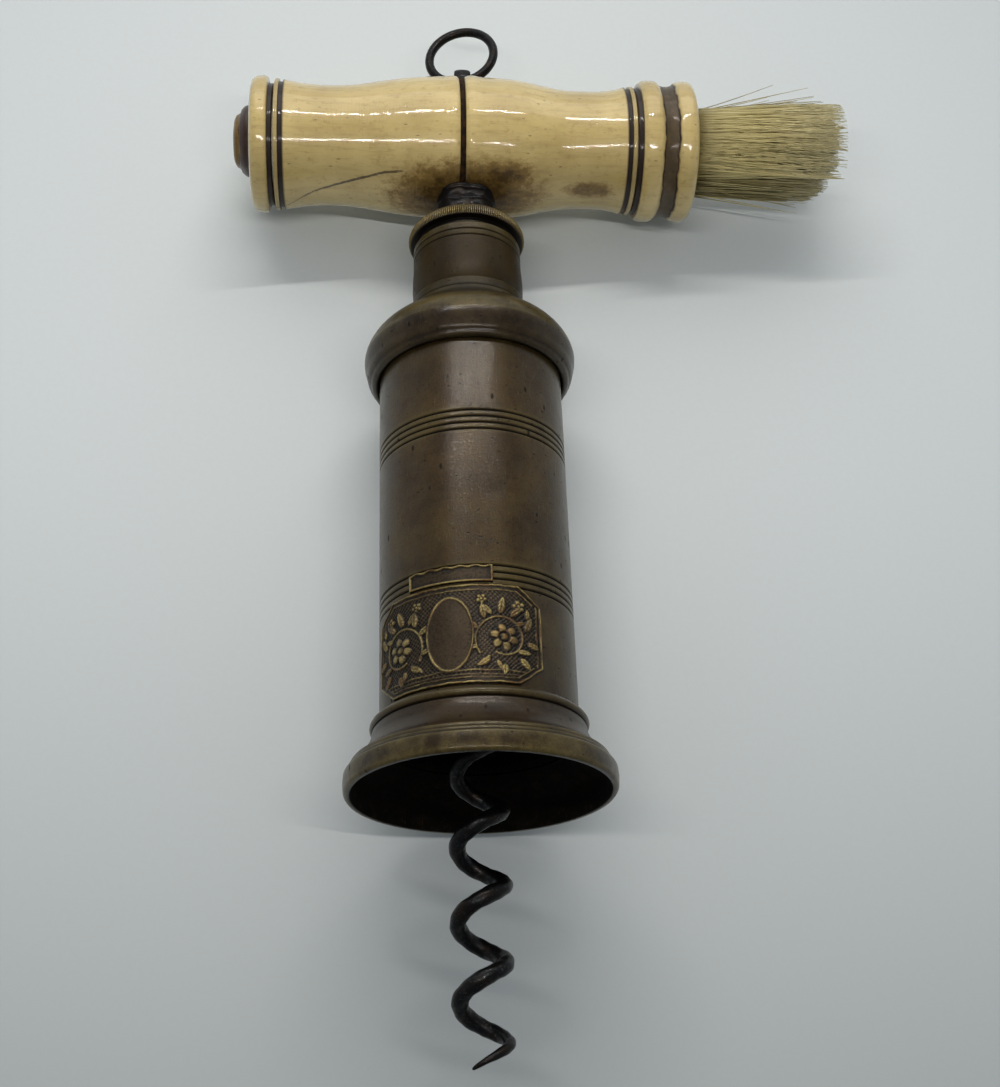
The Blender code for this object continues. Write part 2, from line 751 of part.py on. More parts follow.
def make_bone_right(parent, material, tang_hole):
    start = line_near + fit_gap
    outline = [(start, handle_radius)]
    outline += [(right_length * s, handle_radius * r) for s, r in right_outline_shares]
    outline += end_of_half(1, right_length, right_outline_shares[-1][1])
    return handle_half("handle_bone_right", outline, parent, material, tang_hole)


def make_centre_line(parent, material, tang_hole):
    """The dark horn line round the middle, in two arcs that the tang parts."""
    edge = handle_radius - line_inset
    outline = [(line_far, marrow_radius), (line_far, edge), (line_near, edge),
               (line_near, marrow_radius)]
    for name, start in (("centre_line_front", 0), ("centre_line_back", math.pi)):
        bm = turn_arc(outline, handle_sides // 2, start + line_end_angle,
                      start + math.pi - line_end_angle)
        arc = place_mesh(name, bm, material, parent, (0, handle_at, 0))
        cut_with(arc, tang_hole)


def left_joint():
    """Where the left bone half ends."""
    return left_length + small_groove + end_band


def right_joint():
    return right_length + small_groove + end_band


def make_handle_core(parent, material, tang_hole):
    """Wooden dowel that fills the marrow hole between the button and the brush."""
    radius = marrow_radius - fit_gap
    left = -left_joint() + fit_gap
    right = right_joint() - fit_gap
    outline = [(left, 0), (left, radius), (right, radius), (right, 0)]
    core = turn_piece("handle_core", outline, small_sides, material, parent, (0, handle_at, 0), 'X')
    cut_with(core, tang_hole)
    return core


def make_end_cap(parent, material):
    """Bone disc at the button end. A spigot makes the dark joint look like a groove."""
    joint = left_joint()
    shoulder = joint + joint_groove
    spigot = end_cap_radius * end_cap_shares[0][1] - handle_groove_depth * 2
    bore = button_stem_radius + fit_gap
    outline = [(-joint - fit_gap, bore), (-joint - fit_gap, spigot), (-shoulder, spigot)]
    outline += [(-shoulder - end_cap_length * s, end_cap_radius * r) for s, r in end_cap_shares]
    outline += [(-shoulder - end_cap_length, bore)]
    return turn_piece("end_cap", outline, handle_sides, material, parent, (0, handle_at, 0), 'X')


def make_horn_button(parent, material):
    """Horn plug that closes the handle, with a bevelled edge round a flat face."""
    face = left_joint() + joint_groove + end_cap_length + fit_gap
    edge = face + button_height * button_edge_share
    front = face + button_height
    outline = [(-face + button_stem_length, 0), (-face + button_stem_length, button_stem_radius),
               (-face, button_stem_radius), (-face, button_radius), (-edge, button_radius),
               (-front, button_face_radius), (-front, 0)]
    return turn_piece("horn_button", outline, small_sides, material, parent,
                      (0, handle_at, 0), 'X')


def ferrule_start():
    return right_joint() + joint_groove


def make_brush_ferrule(parent, material):
    """Turned bone end with a bead, a cove and an end ring round the brush."""
    joint = right_joint()
    shoulder = ferrule_start()
    spigot = ferrule_radius * ferrule_shares[0][1] - handle_groove_depth * 2
    bore = brush_radius + fit_gap
    outline = [(joint + fit_gap, bore), (joint + fit_gap, spigot), (shoulder, spigot)]
    outline += [(shoulder + ferrule_length * s, ferrule_radius * r) for s, r in ferrule_shares]
    outline += [(shoulder + ferrule_length, bore)]
    return turn_piece("brush_ferrule", outline, handle_sides, material, parent,
                      (0, handle_at, 0), 'X')


def brush_face():
    """Where the bristles leave their backing."""
    return ferrule_start() + ferrule_length - brush_recess


def make_brush_plug(parent, material):
    back = brush_face() - brush_slice - fit_gap
    outline = [(back - brush_plug_length, 0), (back - brush_plug_length, brush_radius),
               (back, brush_radius), (back, 0)]
    return turn_piece("brush_plug", outline, small_sides, material, parent, (0, handle_at, 0), 'X')


def make_bristles(parent, material):
    """Tapered three-sided strands that rise from a slice of their backing.

    The slice is a disc of rings joined by triangles. Each triangle with a side on its outer
    ring is the foot of one strand. A strand's tip lies outward of its foot, in the same order
    as the feet, so that no two strands cross.
    """
    random.seed(bristle_seed)
    bm = bmesh.new()
    front = brush_face()
    rings = [[bm.verts.new((front, 0, 0))]]
    for k in range(1, bristle_rings + 1):
        radius = brush_radius * k / bristle_rings
        count = bristle_sectors * k
        rings.append([bm.verts.new((front, radius * math.sin(math.tau * n / count),
                                    radius * math.cos(math.tau * n / count)))
                      for n in range(count)])
    feet = []
    for k in range(1, bristle_rings + 1):
        inner, outer = rings[k - 1], rings[k]
        for sector in range(bristle_sectors):
            for n in range(k):
                a = outer[sector * k + n]
                b = outer[(sector * k + n + 1) % len(outer)]
                c = inner[(sector * (k - 1) + n) % len(inner)]
                feet.append((a, b, c))
                if n < k - 1:
                    d = inner[(sector * (k - 1) + n + 1) % len(inner)]
                    bm.faces.new((c, b, d))
    for foot in feet:
        centre = (foot[0].co + foot[1].co + foot[2].co) / 3
        share = Vector((centre.y, centre.z)).length / brush_radius
        reach = bristle_length - bristle_edge_drop * share ** 2 - bristle_scatter * random.random()
        tip = Vector((front + reach,
                      centre.y * bristle_splay_share + bristle_lean * random.uniform(-1, 1),
                      centre.z * bristle_splay_share + bristle_lean * random.uniform(-1, 1)))
        top = [bm.verts.new(tip + (v.co - centre) * bristle_tip_share) for v in foot]
        for n in range(3):
            m = (n + 1) % 3
            bm.faces.new((foot[n], foot[m], top[m], top[n]))
        bm.faces.new(top)
    back = [bm.verts.new((front - brush_slice, v.co.y, v.co.z)) for v in rings[-1]]
    for n in range(len(back)):
        m = (n + 1) % len(back)
        bm.faces.new((rings[-1][n], rings[-1][m], back[m], back[n]))
    bm.faces.new(back)
    return place_mesh("brush_bristles", bm, material, parent, (0, handle_at, 0), False)


# Eye and ring


def make_eye_washer(parent, material):
    bore = eye_neck_radius + fit_gap
    top = eye_washer_bottom + eye_washer_thickness
    outline = [(eye_washer_bottom, bore), (eye_washer_bottom, eye_washer_radius),
               (top, eye_washer_radius), (top, bore)]
    return turn_piece("eye_washer", outline, small_sides, material, parent)


def make_ring_eye(parent, material):
    """Ball with a neck and a stem in the tang, drilled along the handle for the ring."""
    outline = [(tang_top - eye_stem_length, 0), (tang_top - eye_stem_length, eye_stem_radius),
               (tang_top + fit_gap, eye_stem_radius), (tang_top + fit_gap, eye_neck_radius)]
    start = math.asin(eye_neck_radius / eye_radius)
    for k in range(eye_steps + 1):
        angle = start + (math.pi - start) * k / eye_steps
        outline.append((eye_at - eye_radius * math.cos(angle), eye_radius * math.sin(angle)))
    outline[-1] = (eye_at + eye_radius, 0)
    eye = turn_piece("ring_eye", outline, small_sides, material, parent)
    drill = turn_outline([(-eye_radius - overrun, 0), (-eye_radius - overrun, eye_hole_radius),
                          (eye_radius + overrun, eye_hole_radius), (eye_radius + overrun, 0)],
                         small_sides, 'X')
    cut_with(eye, make_cutter("eye_drill", drill, parent, (0, eye_at, 0)))
    return eye


def make_suspension_ring(parent, material):
    """Steel ring through the eye. Its origin is on the swing axis, in the middle of the wire."""
    bm = bmesh.new()
    centre = Vector((0, math.cos(ring_lift), math.sin(ring_lift))) * ring_radius
    out = centre.normalized()
    across = Vector((1, 0, 0))
    normal = across.cross(out)
    rings = []
    for k in range(handle_sides):
        angle = math.tau * k / handle_sides
        radial = out * math.cos(angle) + across * math.sin(angle)
        loop = []
        for n in range(wire_sides):
            turn = math.tau * n / wire_sides
            offset = radial * math.cos(turn) + normal * math.sin(turn)
            loop.append(bm.verts.new(centre + radial * ring_radius + offset * ring_wire))
        rings.append(loop)
    for k in range(handle_sides):
        low, high = rings[k], rings[(k + 1) % handle_sides]
        for n in range(len(low)):
            m = (n + 1) % len(low)
            bm.faces.new((low[n], low[m], high[m], high[n]))
    return place_mesh("suspension_ring", bm, material, parent)


# Lying on the table


def resting_tilt():
    """Angle at which one flat surface touches both the bell's rim and the handle."""
    tilts = []
    for share, rise in bell_outline_shares:
        along = handle_at - bell_length * share
        radius = barrel_radius + (bell_radius - barrel_radius) * rise
        reach = math.hypot(along, radius)
        tilts.append(math.acos(ferrule_radius / reach) - math.atan2(along, radius))
    return max(tilts)


def lay_down(assembly):
    """Tilt the assembly and bring the middle of its underside to the origin."""
    assembly.rotation_euler = (-resting_tilt(), 0, 0)
    bpy.context.view_layer.update()
    depsgraph = bpy.context.evaluated_depsgraph_get()
    corners = []
    for piece in bpy.context.scene.objects:
        if piece.type != 'MESH' or piece.hide_render:
            continue
        mesh = piece.evaluated_get(depsgraph).data
        corners += [piece.matrix_world @ vert.co for vert in mesh.vertices]
    low = [min(c[k] for c in corners) for k in range(3)]
    high = [max(c[k] for c in corners) for k in range(3)]
    assembly.location = (-(low[0] + high[0]) / 2, -(low[1] + high[1]) / 2, -low[2])
    bpy.context.view_layer.update()


def build():
    for old in list(bpy.data.objects):
        bpy.data.objects.remove(old)
    bronze = make_material("patinated bronze", (0.17, 0.11, 0.055), 0.38, 1.0)
    brass = make_material("worn brass", (0.32, 0.24, 0.10), 0.35, 1.0)
    steel = make_material("blackened steel", (0.05, 0.05, 0.05), 0.4, 1.0)
    bone = make_material("polished bone", (0.72, 0.60, 0.36), 0.25)
    horn = make_material("dark horn", (0.10, 0.05, 0.025), 0.3)
    wood = make_material("boxwood", (0.35, 0.22, 0.10), 0.7)
    hair = make_material("hog bristle", (0.55, 0.48, 0.28), 0.6)

    assembly = make_axis("corkscrew_axis")
    screw_axis = make_axis("outer_screw_axis", assembly)
    shank_axis = make_axis("shank_axis", screw_axis)
    ring_axis = make_axis("ring_axis", shank_axis, (0, eye_at, 0))

    make_barrel_tube(assembly, bronze)
    make_bell_mouth(assembly, bronze)
    make_shoulder_cap(assembly, bronze)
    make_threaded_neck(assembly, bronze)
    make_relief_plaque(assembly, brass)
    make_banner_strip(assembly, brass)

    make_stop_ring(screw_axis, brass)
    make_outer_screw(screw_axis, brass)
    make_milled_head(screw_axis, brass)
    make_inner_nut(screw_axis, brass)

    belly = turn_outline([(-handle_radius, 0), (-handle_radius, handle_radius + fit_gap),
                          (handle_radius, handle_radius + fit_gap), (handle_radius, 0)],
                         handle_sides * 2, 'X')
    belly_cutter = make_cutter("handle_belly", belly, shank_axis, (0, handle_at, 0))
    hole = tang_radius + fit_gap
    half_hole = handle_radius + overrun
    drill = turn_outline([(-half_hole, 0), (-half_hole, hole), (half_hole, hole), (half_hole, 0)],
                         small_sides, 'Y')
    tang_hole = make_cutter("tang_hole", drill, shank_axis, (0, handle_at, 0))
    make_stop_collar(shank_axis, steel)
    make_threaded_shank(shank_axis, steel)
    make_worm(shank_axis, steel)
    make_boss(shank_axis, steel, belly_cutter)
    make_bone_left(shank_axis, bone, tang_hole)
    make_bone_right(shank_axis, bone, tang_hole)
    make_centre_line(shank_axis, horn, tang_hole)
    make_handle_core(shank_axis, wood, tang_hole)
    make_end_cap(shank_axis, bone)
    make_horn_button(shank_axis, horn)
    make_brush_ferrule(shank_axis, bone)
    make_brush_plug(shank_axis, wood)
    make_bristles(shank_axis, hair)
    make_eye_washer(shank_axis, steel)
    make_ring_eye(shank_axis, steel)
    make_suspension_ring(ring_axis, steel)
    lay_down(assembly)


build()
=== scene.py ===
import math
import bpy
import numpy as np
from mathutils import Matrix, Vector
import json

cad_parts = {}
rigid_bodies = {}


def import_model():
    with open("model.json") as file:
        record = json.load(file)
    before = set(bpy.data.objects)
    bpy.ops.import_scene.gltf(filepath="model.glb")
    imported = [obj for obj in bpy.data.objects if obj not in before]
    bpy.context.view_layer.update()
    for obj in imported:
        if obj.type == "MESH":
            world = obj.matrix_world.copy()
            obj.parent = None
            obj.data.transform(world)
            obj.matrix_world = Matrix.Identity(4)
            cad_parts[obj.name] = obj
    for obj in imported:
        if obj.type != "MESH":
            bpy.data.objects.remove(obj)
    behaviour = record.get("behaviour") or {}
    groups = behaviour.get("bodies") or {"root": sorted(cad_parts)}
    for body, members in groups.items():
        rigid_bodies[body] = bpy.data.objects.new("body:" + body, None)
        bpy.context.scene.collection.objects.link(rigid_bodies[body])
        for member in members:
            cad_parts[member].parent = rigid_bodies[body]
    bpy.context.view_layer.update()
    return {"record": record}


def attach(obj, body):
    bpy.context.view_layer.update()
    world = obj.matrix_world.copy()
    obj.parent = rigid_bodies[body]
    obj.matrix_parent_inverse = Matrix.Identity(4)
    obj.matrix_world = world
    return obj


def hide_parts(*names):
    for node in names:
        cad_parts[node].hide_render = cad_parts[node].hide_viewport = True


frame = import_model()

# The corkscrew's own axes: x along the handle towards the brush, y up the barrel from the bell's
# mouth, z towards the viewer. Every size below is in millimetres in these axes.
metresPerMm = 0.001
turn = 2 * math.pi
record = frame["record"]
joints = {joint["name"]: joint for joint in record["behaviour"]["joints"]}
barrelAxis = Vector(joints["screw_turn"]["axis"]).normalized()
rimMount = record["mounts"][0]["pos_m"]
mouth = Vector((joints["screw_turn"]["pos_m"][0], rimMount[1], rimMount[2]))
ownAxes = np.array([[1, 0, 0], barrelAxis, Vector((1, 0, 0)).cross(barrelAxis)], float)
tilt = math.atan2(barrelAxis.z, barrelAxis.y)


def toOwn(points):
    # world metres to own millimetres
    return (np.asarray(points, float) - np.array(mouth)) @ ownAxes.T / metresPerMm


def toWorld(points):
    return np.asarray(points, float) * metresPerMm @ ownAxes + np.array(mouth)


def meshPoints(mesh):
    # a mesh's vertices in the corkscrew's own axes
    flat = np.empty(len(mesh.vertices) * 3)
    mesh.vertices.foreach_get("co", flat)
    return toOwn(flat.reshape(-1, 3))


def cadSpan(node):
    # lowest and highest corner of a CAD node
    points = meshPoints(bpy.data.objects[node].data)
    return points.min(axis=0), points.max(axis=0)


def cadRadii(node):
    # least and greatest distance of a CAD node's points from the barrel's axis
    radii = np.hypot(*meshPoints(bpy.data.objects[node].data)[:, [0, 2]].T)
    return radii.min(), radii.max()


coreLow, coreHigh = cadSpan("handle_core")
handleAt = coreLow[1] + (coreHigh[1] - coreLow[1]) / 2
handleMiddle = (0, handleAt, 0)
tubeLow, tubeHigh = cadSpan("barrel_tube")
tubeRadius = (tubeHigh[0] - tubeLow[0]) / 2
ringPin = toOwn(joints["ring_swing"]["pos_m"])


# Colour and nodes


def linear(hexColor):
    # an sRGB hex colour as the linear values that Blender works in
    channels = [int(hexColor[k:k + 2], 16) / 255 for k in (1, 3, 5)]
    return tuple(c / 12.92 if c <= 0.04045 else ((c + 0.055) / 1.055) ** 2.4 for c in channels) + (1.0,)


def addNode(tree, kind, inputs=(), out=None, **settings):
    # One node with its settings. A second word in kind is its operation or data type. Its inputs come
    # by name, or in order for the sockets that its settings leave open: a socket is linked, a hex text
    # is a colour, and (socket, low, high, at low, at high) is that socket's range mapped to another.
    # Returns the output named by out, or else the first open one.
    kind, *mode = kind.split()
    made = tree.nodes.new("ShaderNode" + kind)
    if mode:
        settings["data_type" if kind == "Mix" else "operation"] = mode[0]
    for key, value in settings.items():
        setattr(made, key, value)
    if isinstance(inputs, dict):
        pairs = [(made.inputs[key], value) for key, value in inputs.items()]
    else:
        pairs = zip([socket for socket in made.inputs if socket.enabled], inputs)
    for socket, value in pairs:
        if isinstance(value, tuple) and isinstance(value[0], bpy.types.NodeSocket):
            value = addNode(tree, "MapRange", value)
        if isinstance(value, bpy.types.NodeSocket):
            tree.links.new(value, socket)
        else:
            socket.default_value = linear(value) if isinstance(value, str) else value
    if out:
        return made.outputs[out]
    return next((socket for socket in made.outputs if socket.enabled), made)


def makeMaterial(name, describe):
    # describe adds its nodes to the material's tree and gives the inputs of its shader
    material = bpy.data.materials.new(name)
    material.use_nodes = True
    tree = material.node_tree
    tree.nodes.clear()

    def add(*given, **settings):
        return addNode(tree, *given, **settings)
    add("OutputMaterial", [add("BsdfPrincipled", describe(add))])
    return material


def ownPlace(add, stretch=(1, 1, 1), centre=(0, 0, 0)):
    # Object coordinates turned into own millimetres and stretched along own axes
    origin = -(np.array(mouth) @ ownAxes.T) / metresPerMm - np.array(centre)
    perMetre = 1 / metresPerMm
    own = add("Mapping", [add("TexCoord", out="Object"), tuple(origin), (-tilt, 0, 0), (perMetre,) * 3])
    return add("VectorMath MULTIPLY", [own, stretch])


def chain(add, kind, total, place, steps):
    # A row of nodes of any one kind: each takes the one before it at a place among its own inputs.
    for step in steps:
        total = add(kind, [*step[:place], total, *step[place:]])
    return total


# Shapes


def smoothRange(value, low, high):
    # 0 below low, 1 above high and a smooth step between
    share = np.clip((np.asarray(value, float) - low) / (high - low), 0, 1)
    return share * share * (3 - 2 * share)


def drawProfile(keys, step=0.4, fillet=0.12):
    # Cubic runs between (place, radius) keys. The slope at a key is shared by both sides, unless the
    # key has a third value: then it is a corner, which a small parabola rounds.
    at = np.array([key[:2] for key in keys], float)
    corner = np.array([len(key) > 2 for key in keys])
    chord = np.diff(at, axis=0)
    length = np.hypot(*chord.T)[:, None]
    unit = chord / length
    shared = (unit[:-1] * length[1:] + unit[1:] * length[:-1]) / (length[:-1] + length[1:])
    leave = np.vstack([unit[:1], np.where(corner[1:-1, None], unit[1:], shared)])
    arrive = np.vstack([np.where(corner[1:-1, None], unit[:-1], shared), unit[-1:]])
    pieces = []
    for k in range(len(chord)):
        trim = min(fillet / length[k, 0], 0.3)
        trimStart = trim if k and corner[k] else 0.0
        trimEnd = trim if k < len(chord) - 1 and corner[k + 1] else 0.0
        count = max(1, math.ceil(length[k, 0] / step))
        t = np.linspace(trimStart, 1 - trimEnd, count + 1)[:, None]
        run = ((2 * t ** 3 - 3 * t ** 2 + 1) * at[k] + (t ** 3 - 2 * t ** 2 + t) * leave[k] * length[k]
               + (3 * t ** 2 - 2 * t ** 3) * at[k + 1] + (t ** 3 - t ** 2) * arrive[k] * length[k])
        if k and corner[k]:
            u = np.array([[1 / 3], [2 / 3]])
            pieces.append((1 - u) ** 2 * pieces[-1][-1] + 2 * u * (1 - u) * at[k] + u ** 2 * run[0])
            pieces.append(run)
        else:
            pieces.append(run[1:] if k else run)
    return np.vstack(pieces)


def placeKeys(keys, start, length, base, span):
    # keys given as shares of a length and of a span of radius, as keys in millimetres
    return [(start + length * key[0], base + span * key[1], *key[2:]) for key in keys]


def cutGrooves(places, radius, middles, piece):
    # the outline of a plain tube with round-bottomed grooves
    radii = np.full(len(places), radius)
    for middle in middles:
        away = places - middle
        inside = np.abs(away) < piece["grooveWidth"] / 2
        radii -= inside * piece["grooveDepth"] * (0.5 + 0.5 * np.cos(turn * away / piece["grooveWidth"]))
    return np.stack([places, radii], axis=1)


def bellWeights(half, spread):
    weights = np.exp(-0.5 * (np.arange(-half, half + 1) * spread) ** 2)
    return weights / weights.sum()


def reliefAlong(outline, reach=0.5, sample=0.05):
    # How far each point of an outline stands out of the outline's own running mean: above 0 on an
    # edge, below 0 in a groove.
    lengths = np.concatenate([[0], np.cumsum(np.hypot(*np.diff(outline, axis=0).T))])
    even = np.arange(0, lengths[-1], sample)
    dense = np.stack([np.interp(even, lengths, outline[:, k]) for k in (0, 1)], axis=1)
    half = int(3 * reach / sample)
    weights = bellWeights(half, sample / reach)
    padded = np.pad(dense, ((half, half), (0, 0)), mode='edge')
    mean = np.stack([np.convolve(padded[:, k], weights, 'valid') for k in (0, 1)], axis=1)
    tangent = np.gradient(dense, axis=0)
    normal = np.stack([-tangent[:, 1], tangent[:, 0]], axis=1)
    normal /= np.hypot(*normal.T)[:, None] + 1e-9
    return np.interp(lengths, even, ((dense - mean) * normal).sum(axis=1))


def turnedPoints(outline, columns, along='barrel', swell=None):
    # An outline of (place, radius) carried round the barrel's or the handle's axis. The angle runs
    # from z towards x on the barrel, and from z towards the ring on the handle.
    angle = turn * np.arange(columns) / columns
    place, radius = (np.repeat(np.array(outline, float)[:, k:k + 1], columns, axis=1) for k in (0, 1))
    if swell is not None:
        radius = radius + swell(place, angle[None, :], radius)
    if along == 'barrel':
        return np.stack([radius * np.sin(angle), place, radius * np.cos(angle)], axis=-1)
    return np.stack([place, handleAt + radius * np.sin(angle), radius * np.cos(angle)], axis=-1)


def latticeFaces(rows, columns, wrapRows=False, wrapColumns=True):
    # quads between the neighbours of a lattice whose points are listed row by row
    r = np.arange(rows if wrapRows else rows - 1)[:, None]
    c = np.arange(columns if wrapColumns else columns - 1)[None, :]
    nextRow, nextColumn = (r + 1) % rows, (c + 1) % columns
    here, there = r * columns, nextRow * columns
    return np.stack([here + c, here + nextColumn, there + nextColumn, there + c], axis=-1).reshape(-1, 4)


def closedSkin(lattice, ends=None):
    # points and faces of a lattice that goes round: its last row meets its first one, or two end
    # points close it
    rows, columns = lattice.shape[:2]
    count = rows * columns
    points = lattice.reshape(-1, 3)
    if ends is None:
        return points, [latticeFaces(rows, columns, wrapRows=True)]
    ring = np.arange(columns)
    following = (ring + 1) % columns
    pole = np.full(columns, count)
    first = np.stack([following, ring, pole], axis=1)
    last = np.stack([pole - columns + ring, pole - columns + following, pole + 1], axis=1)
    return np.vstack([points, ends]), [latticeFaces(rows, columns), first, last]


def faceOutward(points, parts):
    # The faces of a closed surface, turned round if they enclose less than nothing. What they enclose
    # goes by the sum of each triangle's first corner dotted with the cross of the other two.
    middle = points - points.mean(axis=0)
    enclosed = 0.0
    for part in parts:
        for k in range(1, part.shape[1] - 1):
            a, b, c = middle[part[:, 0]], middle[part[:, k]], middle[part[:, k + 1]]
            enclosed += np.einsum('ij,ij->i', a, np.cross(b, c)).sum()
    return [part[:, ::-1] for part in parts] if enclosed < 0 else parts


def writeData(mesh, data):
    # one value for each point, or a colour and how easily the point is rubbed bright
    for key, values in data.items():
        values = np.asarray(values, np.float32)
        kind, part = ('FLOAT_COLOR', "color") if values.shape[1:] == (4,) else ('FLOAT', "value")
        layer = mesh.attributes.get(key) or mesh.attributes.new(key, kind, 'POINT')
        layer.data.foreach_set(part, values.ravel())


def addMesh(name, points, faces, material, data=None):
    # a mesh at its place, from a list of arrays of quads or triangles
    points = np.asarray(points, float).reshape(-1, 3)
    faces = faceOutward(points, faces)
    mesh = bpy.data.meshes.new(name)
    corners = np.concatenate([part.ravel() for part in faces]).astype(np.int32)
    sizes = np.concatenate([np.full(len(part), part.shape[1]) for part in faces]).astype(np.int32)
    mesh.vertices.add(len(points))
    mesh.vertices.foreach_set("co", toWorld(points).astype(np.float32).ravel())
    mesh.loops.add(len(corners))
    mesh.loops.foreach_set("vertex_index", corners)
    mesh.polygons.add(len(sizes))
    mesh.polygons.foreach_set("loop_start", (np.cumsum(sizes) - sizes).astype(np.int32))
    mesh.update(calc_edges=True)
    mesh.validate()
    writeData(mesh, data or {})
    mesh.shade_smooth()
    mesh.materials.append(material)
    piece = bpy.data.objects.new(name, mesh)
    bpy.context.scene.collection.objects.link(piece)
    return piece


def keepPiece(piece, body, slot, *nodes):
    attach(piece, body)
    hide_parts(*nodes)


def tintAlong(places, keys):
    # a colour for each place, between (place, hex, how easily it is rubbed bright) keys
    at = [key[0] for key in keys]
    colors = np.array([linear(key[1])[:3] + (key[2],) for key in keys])
    return np.stack([np.interp(places, at, colors[:, k]) for k in range(4)], axis=-1)


def addTurned(name, outer, inner, columns, material, along='barrel', tint=None, swell=None, reach=0.5):
    # A closed turned wall: the outer outline up and the inner outline back down, carried round the
    # axis. Without an inner one, the outer outline begins and ends on the handle's axis.
    outline = outer if inner is None else np.vstack([outer, inner[::-1]])
    side = np.sign(np.sum(outline[:-1, 1] * np.diff(outline[:, 0])))
    relief = reliefAlong(outline, reach) * side
    ends = None
    if inner is None:
        ends = [[place, handleAt, 0] for place in outline[[0, -1], 0]]
        outline, relief = outline[1:-1], relief[1:-1]
    points, faces = closedSkin(turnedPoints(outline, columns, along, swell), ends)
    data = {"standing": np.repeat(relief, columns)}
    if ends:
        data["standing"] = np.append(data["standing"], relief[[0, -1]])
    if tint:
        colors = tintAlong(outline[:, 0], tint)
        # painted shade: the inner walls get the near black inside colour
        colors[len(outer):] = paintedInsideShade
        data["tint"] = np.repeat(colors, columns, axis=0)
    return addMesh(name, points, faces, material, data)


# Materials

paintedInsideShade = linear("#0a0805")[:3] + (0.0,)   # painted shade: the inside of the turned bronze is coloured near black, standing in for the shade in the bore and the bell's mouth, and no hand rubs it


def bronzeLook(add):
    # Turned bronze under two centuries of brown patina: satin, a little glossier where hands have
    # polished it, olive where the edges are rubbed, near black in the grooves, and finely scratched
    # along the barrel.
    look = {"palest": "#c9c07a", "dullest": "#968c5b", "worn": "#695c35", "grime": "#0b0906",
            "scratch": "#8d8158", "blotch": "#241a0f", "smoothest": 0.35, "roughest": 0.5}
    own = ownPlace(add)
    mottle = add("TexNoise", [own, 0.14, 6.0, 0.62])
    speck = add("TexNoise", [own, 2.8, 4.0, 0.65])
    patch = add("TexNoise", [own, 0.45, 4.0, 0.7])
    hair = add("TexNoise", [ownPlace(add, (5.5, 0.6, 5.5)), 1.0, 3.0])
    lathe = add("TexNoise", [ownPlace(add, (0.04, 4.0, 0.04)), 1.0, 2.0])
    # knocks: dark ticks a millimetre or two long, along, across and aslant, in a sparse scatter
    slanted = add("Mapping", [own, (3, 0, 0), (0, 0, 0.75)])
    slanted = add("VectorMath MULTIPLY", [slanted, (0.55, 0.11, 0.55)])
    knocks, nicks, scrapes = [add("TexVoronoi", [place, 1.0]) for place in (
        ownPlace(add, (0.36, 0.17, 0.36)), ownPlace(add, (0.3, 0.62, 0.3)), slanted)]
    tick = chain(add, "Math MAXIMUM", (knocks, 0.12, 0.07, 0.0, 1.0), 0, [
        [(nicks, 0.1, 0.06, 0.0, 1.0)], [(scrapes, 0.07, 0.03, 0.0, 1.0)]])
    # tint carries each place's own colour, and the painted shade of the inside walls
    tint, handled = [add("Attribute", out=out, attribute_name="tint") for out in ("Color", "Alpha")]
    standing = add("Attribute", out="Fac", attribute_name="standing")
    # rubbed share: on edges, broken by patches and specks, times how easily the place is rubbed
    edge = chain(add, "Math ADD", (standing, -0.03, 0.1, 0.0, 1.0), 0, [
        [(patch, 0.35, 0.65, -0.45, 0.35)], [(mottle, 0.38, 0.6, -0.35, 0.4)]])
    rubbed = chain(add, "Math MULTIPLY", (edge, -0.1, 1.5, 0.0, 1.0), 0, [
        [(speck, 0.4, 0.6, 0.4, 1.0)], [handled]])
    dirty = add("Math MAXIMUM", [(standing, -0.015, -0.09, 0.0, 1.0), add("Math MULTIPLY", [tick, 0.8])])
    shade = add("Mix RGBA", [(mottle, 0.3, 0.7, 0.0, 1.0), look["dullest"], look["palest"]])
    color = chain(add, "Mix RGBA", add("Mix RGBA", [1.0, tint, shade], blend_type='MULTIPLY'), 1, [
        ((patch, 0.48, 0.7, 0.0, 0.6), look["blotch"]), ((hair, 0.64, 0.76, 0.0, 0.12), look["scratch"]),
        (rubbed, look["worn"]), (dirty, look["grime"]), ((speck, 0.52, 0.68, 0.0, 0.6), look["grime"])])
    rough = (mottle, 0.3, 0.7, look["smoothest"], look["roughest"])
    rough = chain(add, "Math MULTIPLY_ADD", rough, 2, [
        (dirty, 0.3), (rubbed, -0.14), ((handled, 0.0, 0.08, 0.5, 0.0), 1.0)])
    # the wax coat wears off with the dirt and in the places that hands don't reach
    coat = chain(add, "Math MULTIPLY", (dirty, 0.0, 0.8, 1.0, 0.0), 0, [
        [(handled, 0.08, 0.28, 0.0, 0.35)], [(hair, 0.36, 0.64, 0.65, 1.35)]])
    height = chain(add, "Math MULTIPLY_ADD", 0.0, 2, [
        (lathe, 0.3), (hair, 1.3), (speck, 2.6), (tick, -1.0)])
    bump = add("Bump", {"Height": height, "Strength": 0.35, "Distance": 0.00003})
    return {"Metallic": 0.2, "Coat Roughness": 0.13, "Coat IOR": 1.45, "Specular IOR Level": 0.15,
            "Base Color": color, "Roughness": rough, "Coat Weight": coat, "Normal": bump,
            "Coat Normal": bump}


